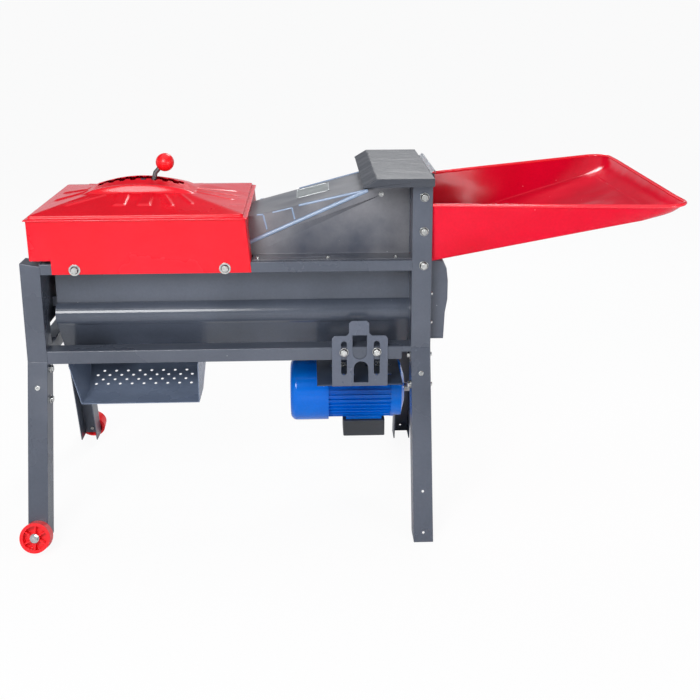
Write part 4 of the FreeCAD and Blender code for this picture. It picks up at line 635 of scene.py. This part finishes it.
# A paler, glossier slate for the fold beads, crest beads and ribs: painted highlight along them.
painted_highlight_slate = sprayed("painted_highlight_slate", (0.20, 0.27, 0.38), (0.30, 0.38, 0.52),
                       rough=0.16, peel=0.06, wave=0.0, speck=(0.5, 0.52, 0.55))
fold_line = ((0.566, 0.1440, 0.7448), (0.872, 0.1440, 0.8782))
crest_line = ((0.696, 0.1212, 0.8362), (0.870, 0.1440, 0.8782))
rib_lines = (((0.6037, 0.1110, 0.8088), (0.6134, 0.1363, 0.7770)),
             ((0.6781, 0.1196, 0.8292), (0.6852, 0.1400, 0.8030)),
             ((0.587, 0.1062, 0.8092), (0.6037, 0.1095, 0.8102)),
             ((0.628, 0.1130, 0.8165), (0.6781, 0.1190, 0.8293)))
for name, lines, radius in (("cover_fold_beads", (fold_line,), 0.0052),
                            ("cover_crest_beads", (crest_line,), 0.0034),
                            ("cover_ribs", rib_lines, 0.0026)):
    pairs = [[(x, side * y, z) for x, y, z in line] for side in (-1, 1) for line in lines]
    trims(name, bead_tree, pairs, painted_highlight_slate, {"Radius": radius, "Steps": 16})

# Head cap: one folded sheet over the tall posts, with turned-down ends. The
# dents and creases of its thin top are the sway in its paint.
dented = sprayed("dented_paint", (0.034, 0.038, 0.050), (0.060, 0.066, 0.080),
                 rough=0.44, peel=0.12, wave=0.5, wave_scale=16.0, wave_detail=4.0, gloss=0.35)
folded_sheet("head_cap", dented, wall=0.003, fold=0.003, edge=0.0006, smooth=14)

# Feed tray: scoop pressed from one red sheet with rounded outer corners, its
# rim rolled over a wire; a tongue and a flange bolt it to the frame.
tray_in, tray_out, floor_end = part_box("near_right_post")[1].x - cob_end, 1.624, 1.572
floor_in, floor_out, rim_in, rim_out = 0.198, 0.325, 0.212, 0.386
floor_low, floor_rise, rim_low, rim_rise = 0.703, 0.135, 0.858, 0.029
near_drop, near_lean, drop_width = 0.008, 0.003, 0.5
belly_depth, belly_from, belly_soft = 0.006, 1.50, 0.07
side_steps, arc_steps, end_steps, levels = 40, 10, 24, 14


def scoop_line(end_x, half_in, half_out, radius):
    # Plan of one level of the scoop: near side, end wall and far side, with
    # both outer corners rounded by a tangent arc.
    lean = math.atan2(half_out - half_in, end_x - tray_in)
    turn = math.pi / 2 + lean
    reach = radius / math.tan((math.pi - turn) / 2)
    start = (end_x - reach * math.cos(lean), -half_out + reach * math.sin(lean))
    centre = (start[0] + radius * math.sin(lean), start[1] + radius * math.cos(lean))
    line = []
    for i in range(side_steps):
        share = i / side_steps
        line.append((tray_in + (start[0] - tray_in) * share, -half_in + (start[1] + half_in) * share))
    for i in range(arc_steps):
        at = -math.pi / 2 - lean + turn * i / arc_steps
        line.append((centre[0] + radius * math.cos(at), centre[1] + radius * math.sin(at)))
    for i in range(end_steps // 2):
        line.append((end_x, centre[1] * (1 - i * 2 / end_steps)))
    return line + [(end_x, 0.0)] + [(x, -y) for x, y in line[::-1]]


def floor_z(x):
    return floor_low + (x - tray_in) * floor_rise / (floor_end - tray_in)


def rim_z(x, y):
    # The near rim of the real tray hangs a little lower than the far one.
    share = (x - tray_in) / (tray_out - tray_in)
    near = min(1.0, max(0.0, 0.5 - y / drop_width))
    return rim_low + rim_rise * share - near * (near_drop + near_lean * share)


foot_line = scoop_line(floor_end, floor_in, floor_out, radius=0.045)
rim_line = scoop_line(tray_out, rim_in, rim_out, radius=0.048)
scoop_points, scoop_faces = [], []
for k in range(levels + 1):
    share = k / levels
    belly = belly_depth * math.sin(math.pi * share)
    for (fx, fy), (rx, ry) in zip(foot_line, rim_line):
        low, high = floor_z(fx), rim_z(rx, ry)
        bend = belly * eased((fx - belly_from) / belly_soft)
        x, z = fx + (rx - fx) * share + bend, low + (high - low) * share - bend
        scoop_points.append((x + cob_end, fy + (ry - fy) * share, z))
count = len(rim_line)
for k in range(levels):
    for i in range(count - 1):
        a = k * count + i
        scoop_faces.append((a, a + 1, a + count + 1, a + count))
for i in range(count // 2):
    a, b = i, count - 1 - i
    if b - a > 2:
        scoop_faces.append((a, b, b - 1, a + 1))
    else:
        scoop_faces.append((a, b, a + 1))
scoop_mesh = bpy.data.meshes.new("scoop")
scoop_mesh.from_pydata(scoop_points, [], scoop_faces)
press = bmesh.new()
press.from_mesh(scoop_mesh)
bmesh.ops.recalc_face_normals(press, faces=press.faces)
if sum(face.normal.z * face.calc_area() for face in press.faces) > 0:
    bmesh.ops.reverse_faces(press, faces=press.faces)
crease = press.edges.layers.float.new("bevel_weight_edge")
press.edges.ensure_lookup_table()
for line in press.edges:
    ends = [v.index for v in line.verts]
    if max(ends) < count and abs(ends[0] - ends[1]) == 1:
        line[crease] = 1.0
for face in press.faces:
    face.smooth = True
press.to_mesh(scoop_mesh)
press.free()

# A tongue between the tall posts, a sill and an ear against each post, as
# outlines in Y and Z, join the pressed scoop.
tray_gauge, tongue_half, tongue_low, tongue_high, post_gap = 0.002, 0.1597, 0.709, 0.711, 0.160
tongue = ((-tongue_half, tongue_low), (tongue_half, tongue_low), (tongue_half, tongue_high),
          (-tongue_half, tongue_high))
sill = ((-post_gap, floor_low), (post_gap, floor_low), (post_gap, tongue_high), (-post_gap, tongue_high))
near_top, far_top = rim_low - near_drop, rim_low
near_ear = ((-rim_in, near_top), (-floor_in, floor_low), (-post_gap, floor_low), (-post_gap, near_top))
far_ear = ((post_gap, far_top), (post_gap, floor_low), (floor_in, floor_low), (rim_in, far_top))
tray_shape = bmesh.new()
tray_shape.from_mesh(walled(scoop_mesh, tray_gauge, fold=0.005))
for outline, x0 in ((tongue, rail_right), (sill, tray_in), (near_ear, tray_in), (far_ear, tray_in)):
    front = [tray_shape.verts.new((tray_in + tray_gauge + cob_end, y, z)) for y, z in outline]
    back = [tray_shape.verts.new((x0 + cob_end, y, z)) for y, z in outline]
    tray_shape.faces.new(front)
    tray_shape.faces.new(back[::-1])
    for i in range(4):
        j = (i + 1) % 4
        tray_shape.faces.new((front[j], front[i], back[i], back[j]))
tray_mesh = bpy.data.meshes.new("feed_tray_pressing")
for face in tray_shape.faces:
    face.smooth = True
tray_shape.to_mesh(tray_mesh)
tray_shape.free()
tray_mesh.set_sharp_from_angle(angle=math.radians(40))
tray = bpy.data.objects.new("feed_tray_pressing", tray_mesh)
bpy.context.scene.collection.objects.link(tray)
tray_red = sprayed("tray_paint", (0.60, 0.0, 0.014), (0.80, 0.001, 0.028),
                   rough=0.14, peel=0.03, wave=0.25, gloss=0.22, speck=(0.95, 0.25, 0.28))
tray_mesh.materials.append(tray_red)
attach(tray, "frame")
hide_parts("feed_tray")
# The tray's rolled rim is in that paler red: painted highlight.
rim = [(x, y, rim_z(x, y)) for x, y in rim_line]
trims("tray_rim", bead_tree, [rim], painted_highlight_red, {"Radius": 0.0045, "Steps": 260})

# Kernel chute: one sheet of perforated steel, folded up along both sides and
# hung below the lower rails, in a paler slate blue.
chute_blue = sprayed("chute_paint", (0.140, 0.178, 0.260), (0.190, 0.235, 0.330),
                     rough=0.26, peel=0.10, wave=0.3)
folded_sheet("kernel_chute", chute_blue, wall=0.002, fold=0.002, edge=0.0004)

# Motor cradle: slotted face plates welded to a shelf, all of thick sheet, and
# bolted through their slots to the lower rails.
# The shelf is in a darker copy of the plates' blue: painted shade under the motor.
shelf_painted_shade_blue = sprayed("shelf_paint_painted_shade", (0.018, 0.034, 0.070), (0.034, 0.052, 0.096),
                     rough=0.46, peel=0.10, wave=0.35)
plate_blue = sprayed("plate_paint", (0.080, 0.094, 0.130), (0.118, 0.134, 0.176),
                     rough=0.27, peel=0.10, wave=0.35)
for name, paint in (("cradle_shelf", shelf_painted_shade_blue), ("near_cradle_plate", plate_blue),
                    ("far_cradle_plate", plate_blue)):
    folded_sheet(name, paint, wall=0.003, fold=0.0008, edge=0.0008)

# Motor: ribbed aluminium body, cast end shield and a drawn fan cover, all
# sprayed royal blue, with a dark plastic terminal box below.
royal_blue = sprayed("blue_paint", (0.0, 0.115, 0.58), (0.0, 0.175, 0.72),
                     rough=0.16, peel=0.06, wave=0.08, gloss=0.3, speck=(0.3, 0.45, 0.8))
for name in ("motor_body", "motor_end_shield", "motor_fan_cover"):
    finish_node(name, royal_blue)
black_case = sprayed("black_plastic", (0.028, 0.031, 0.036), (0.042, 0.046, 0.052),
                     rough=0.50, peel=0.20, wave=0.0, speck=(0.2, 0.2, 0.2))
for name in ("junction_box", "motor_fan"):
    finish_node(name, black_case)

# Wheels: red plastic, moulded in one with their hub and six thin spokes, each
# turning on a bolt through the leg.
for name in ("near_wheel", "far_wheel"):
    folded_sheet(name, moulded_red, wall=0.003, fold=0.0012, edge=0.0006)

# Bolts: zinc plated steel with hexagon heads and flat washers, screwed up
# through the sheets that they hold together.
zinc = plated("zinc_plate", (0.44, 0.45, 0.45), (0.74, 0.74, 0.71), rough=0.24, metal=1.0, scale=120)
for name in ("leg_bolts", "frame_bolts", "small_bolts", "lid_bolts", "motor_bolts"):
    folded_sheet(name, zinc, wall=0.0012, fold=0.0009, edge=0.0004)
finish_node("wheel_bolts", zinc)

# Spring washers: dark rings of hardened steel, squeezed between the large
# heads and their broad washers. Their darkness is partly the steel's own and
# partly painted shade in the crevice under each head.
washer_steel_and_gap_shade = plated("washer_steel_and_gap_shade", (0.05, 0.05, 0.055), (0.12, 0.12, 0.125), rough=0.35, metal=0.9, scale=120)
ring_radius, ring_turns = 0.0094, 24
post_heads = [(1.009, side * 0.2224, z) for side in (-1, 1) for z in (0.698, 0.786, 0.8727)]
lid_heads = [(x, side * 0.2262, 0.698) for side in (-1, 1) for x in (0.137, 0.510)]
cradle_heads = [(x, side * 0.2254, 0.471) for side in (-1, 1) for x in (0.807, 0.8915)]
rings = []
for x, y, z in post_heads + lid_heads + cradle_heads:
    turns = [2 * math.pi * k / ring_turns for k in range(ring_turns)]
    rings.append([(x + ring_radius * math.cos(turn), y, z + ring_radius * math.sin(turn)) for turn in turns])
trims("spring_washers", bead_tree, rings, washer_steel_and_gap_shade, {"Radius": 0.0009, "Steps": 36}, closed=True)

# Rating plate: thin bare aluminium, brushed, with a bright raised border,
# fixed on the flat of the feed cover.
brushed = plated("plate_aluminium", (0.22, 0.24, 0.24), (0.34, 0.36, 0.36), rough=0.38, metal=0.2, scale=40)
finish_node("rating_plate", brushed)
plate_left, plate_right, plate_near, plate_far = 0.690, 0.775, -0.022, 0.097
flat_left, flat_low, flat_slope, border_lift = 0.565, 0.805, 75 / 309, 0.0010
border_line = []
for x, y in ((plate_left, plate_near), (plate_right, plate_near),
             (plate_right, plate_far), (plate_left, plate_far)):
    border_line.append((x, y, flat_low + flat_slope * (x - flat_left) + border_lift))
plate_edge = plated("plate_edge", (0.50, 0.52, 0.53), (0.70, 0.72, 0.73), rough=0.30, metal=0.9, scale=40)
trims("plate_border", bead_tree, [border_line], plate_edge, {"Radius": 0.0011, "Steps": 49},
      closed=True)

# Splash curtain: one milky plastic sheet, looped over its rod at the feed
# mouth and left to hang in soft waves.
milky = bpy.data.materials.new("clear_curtain")
milky.use_nodes = True
milky_tree = milky.node_tree
milky_shader = milky_tree.nodes["Principled BSDF"]
milky_shader.inputs["Transmission Weight"].default_value = 0.6
milky_shader.inputs["IOR"].default_value = 1.3
milky_place = milky_tree.nodes.new("ShaderNodeTexCoord")
milky_cloud = milky_tree.nodes.new("ShaderNodeTexNoise")
milky_cloud.inputs["Scale"].default_value = 18.0
milky_tone = milky_tree.nodes.new("ShaderNodeValToRGB")
milky_tone.color_ramp.elements[0].color = (0.62, 0.64, 0.68, 1)
milky_tone.color_ramp.elements[1].color = (0.80, 0.82, 0.85, 1)
milky_haze = milky_tree.nodes.new("ShaderNodeMapRange")
milky_haze.inputs["To Min"].default_value = 0.28
milky_haze.inputs["To Max"].default_value = 0.5
milky_tree.links.new(milky_place.outputs["Object"], milky_cloud.inputs["Vector"])
milky_tree.links.new(milky_cloud.outputs["Fac"], milky_tone.inputs["Fac"])
milky_tree.links.new(milky_tone.outputs["Color"], milky_shader.inputs["Base Color"])
milky_tree.links.new(milky_cloud.outputs["Fac"], milky_haze.inputs["Value"])
milky_tree.links.new(milky_haze.outputs["Result"], milky_shader.inputs["Roughness"])
hang_line = ((0.0008, -0.1050), (0.0000, -0.0900), (-0.0012, -0.0700), (-0.0014, -0.0480), (-0.0006, -0.0260),
             (0.0006, -0.0120), (-0.0042, -0.0040), (-0.0050, 0.0010), (-0.0030, 0.0052), (0.0012, 0.0075),
             (0.0026, 0.0098), (0.0050, 0.0120), (0.0080, 0.0104), (0.0086, 0.0040))
curtain_x, curtain_z, curtain_half = 1.035, 0.917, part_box("splash_curtain")[1].y
across, along, hang_from, hang_length = 100, 4, -0.012, 0.093
wave_depth, ripple_depth, hem_lift = 0.0030, 0.0012, 0.0022
profile = []
for a, b in zip(hang_line, hang_line[1:]):
    profile += [(a[0] + (b[0] - a[0]) * i / along, a[1] + (b[1] - a[1]) * i / along) for i in range(along)]
profile.append(hang_line[-1])
curtain_points, curtain_faces = [], []
for off, rise in profile:
    free = eased((hang_from - rise) / hang_length)
    for i in range(across + 1):
        y = curtain_half * (2 * i / across - 1)
        wave = wave_depth * free * math.sin(y * 62 + 0.6) + ripple_depth * free * math.sin(y * 131)
        lift = hem_lift * free * math.sin(y * 38 + 1.1)
        curtain_points.append((curtain_x + cob_end + off + wave, y, curtain_z + rise + abs(lift)))
for k in range(len(profile) - 1):
    for i in range(across):
        a = k * (across + 1) + i
        curtain_faces.append((a, a + 1, a + across + 2, a + across + 1))
curtain_mesh = bpy.data.meshes.new("hung_curtain")
curtain_mesh.from_pydata(curtain_points, [], curtain_faces)
for face in curtain_mesh.polygons:
    face.use_smooth = True
curtain_made = walled(curtain_mesh, gauge=0.0006, offset=0)
curtain = bpy.data.objects.new("hung_curtain", curtain_made)
bpy.context.scene.collection.objects.link(curtain)
curtain_made.materials.append(milky)
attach(curtain, "curtain")
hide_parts("splash_curtain")

# Stage: pale floor, soft lamps, and the camera where the photograph was
# taken from.
floor_mesh = bpy.data.meshes.new("floor")
floor_mesh.from_pydata([(-400, -400, 0), (400, -400, 0), (400, 400, 0), (-400, 400, 0)], [], [(0, 1, 2, 3)])
floor = bpy.data.objects.new("floor", floor_mesh)
bpy.context.scene.collection.objects.link(floor)
ground = bpy.data.materials.new("floor")
ground.use_nodes = True
ground_tree = ground.node_tree
ground_shader = ground_tree.nodes["Principled BSDF"]
ground_shader.inputs["Base Color"].default_value = (0.86, 0.86, 0.86, 1)
ground_shader.inputs["Roughness"].default_value = 0.9
ground_glow = ground_tree.nodes.new("ShaderNodeEmission")
ground_rays = ground_tree.nodes.new("ShaderNodeLightPath")
ground_share = ground_tree.nodes.new("ShaderNodeMath")
ground_share.operation = "MULTIPLY"
ground_share.inputs[1].default_value = 0.93
ground_mix = ground_tree.nodes.new("ShaderNodeMixShader")
ground_tree.links.new(ground_rays.outputs["Is Camera Ray"], ground_share.inputs[0])
ground_tree.links.new(ground_share.outputs["Value"], ground_mix.inputs["Fac"])
ground_tree.links.new(ground_shader.outputs["BSDF"], ground_mix.inputs[1])
ground_tree.links.new(ground_glow.outputs["Emission"], ground_mix.inputs[2])
ground_tree.links.new(ground_mix.outputs["Shader"], ground_tree.nodes["Material Output"].inputs["Surface"])
floor.data.materials.append(ground)

studio = bpy.data.worlds.new("studio")
studio.use_nodes = True
bpy.context.scene.world = studio
studio_tree = studio.node_tree
studio_light = studio_tree.nodes["Background"]
studio_light.inputs["Strength"].default_value = 0.9
studio_way = studio_tree.nodes.new("ShaderNodeTexCoord")
studio_split = studio_tree.nodes.new("ShaderNodeSeparateXYZ")
studio_dome = studio_tree.nodes.new("ShaderNodeValToRGB")
for place, level in ((0.16, 0.95), (0.28, 0.07), (0.72, 0.09), (0.88, 1.1)):
    stop = studio_dome.color_ramp.elements.new(place)
    stop.color = (level * 0.92, level * 0.97, level * 1.05, 1)
studio_dome.color_ramp.elements[0].color = (0.95, 0.97, 1.0, 1)
studio_tree.links.new(studio_way.outputs["Generated"], studio_split.inputs["Vector"])
studio_tree.links.new(studio_split.outputs["Z"], studio_dome.inputs["Fac"])
studio_tree.links.new(studio_dome.outputs["Color"], studio_light.inputs["Color"])
studio_back = studio_tree.nodes.new("ShaderNodeBackground")
studio_back.inputs["Color"].default_value = (0.957, 0.957, 0.957, 1)
studio_rays = studio_tree.nodes.new("ShaderNodeLightPath")
studio_mix = studio_tree.nodes.new("ShaderNodeMixShader")
studio_tree.links.new(studio_rays.outputs["Is Camera Ray"], studio_mix.inputs["Fac"])
studio_tree.links.new(studio_light.outputs["Background"], studio_mix.inputs[1])
studio_tree.links.new(studio_back.outputs["Background"], studio_mix.inputs[2])
studio_tree.links.new(studio_mix.outputs["Shader"], studio_tree.nodes["World Output"].inputs["Surface"])

for name, place, aim, size, power in (
        ("key_lamp", (-1.2, -3.0, 2.4), (0, 0, 0.6), 1.4, 94),
        ("fill_lamp", (2.2, -2.6, 0.9), (0.2, 0, 0.5), 1.0, 26),
        ("back_lamp", (0.4, 2.6, 3.0), (0, 0, 0.7), 1.0, 52)):
    lamp_data = bpy.data.lights.new(name, "AREA")
    lamp_data.size = size
    lamp_data.energy = power
    lamp = bpy.data.objects.new(name, lamp_data)
    lamp.location = place
    lamp.rotation_euler = (Vector(aim) - Vector(place)).to_track_quat("-Z", "Y").to_euler()
    bpy.context.scene.collection.objects.link(lamp)

eye = (-0.08175, -2.757, 1.353)
yaw, pitch, roll = math.radians(2.19), math.radians(15.21), math.radians(-0.15)
forward = Vector((math.sin(yaw) * math.cos(pitch), math.cos(yaw) * math.cos(pitch), -math.sin(pitch)))
aside = Vector((math.cos(yaw), -math.sin(yaw), 0))
upright = aside.cross(forward)
right = aside * math.cos(roll) + upright * math.sin(roll)
up = upright * math.cos(roll) - aside * math.sin(roll)
lens = bpy.data.cameras.new("camera")
lens.lens = 53.59
lens.sensor_width = 36
lens.shift_y = -0.10
camera = bpy.data.objects.new("camera", lens)
turned = Matrix((right, up, -forward)).transposed().to_4x4()
camera.matrix_world = Matrix.Translation(eye) @ turned
bpy.context.scene.collection.objects.link(camera)
bpy.context.scene.camera = camera
bpy.context.scene.view_settings.view_transform = "Standard"
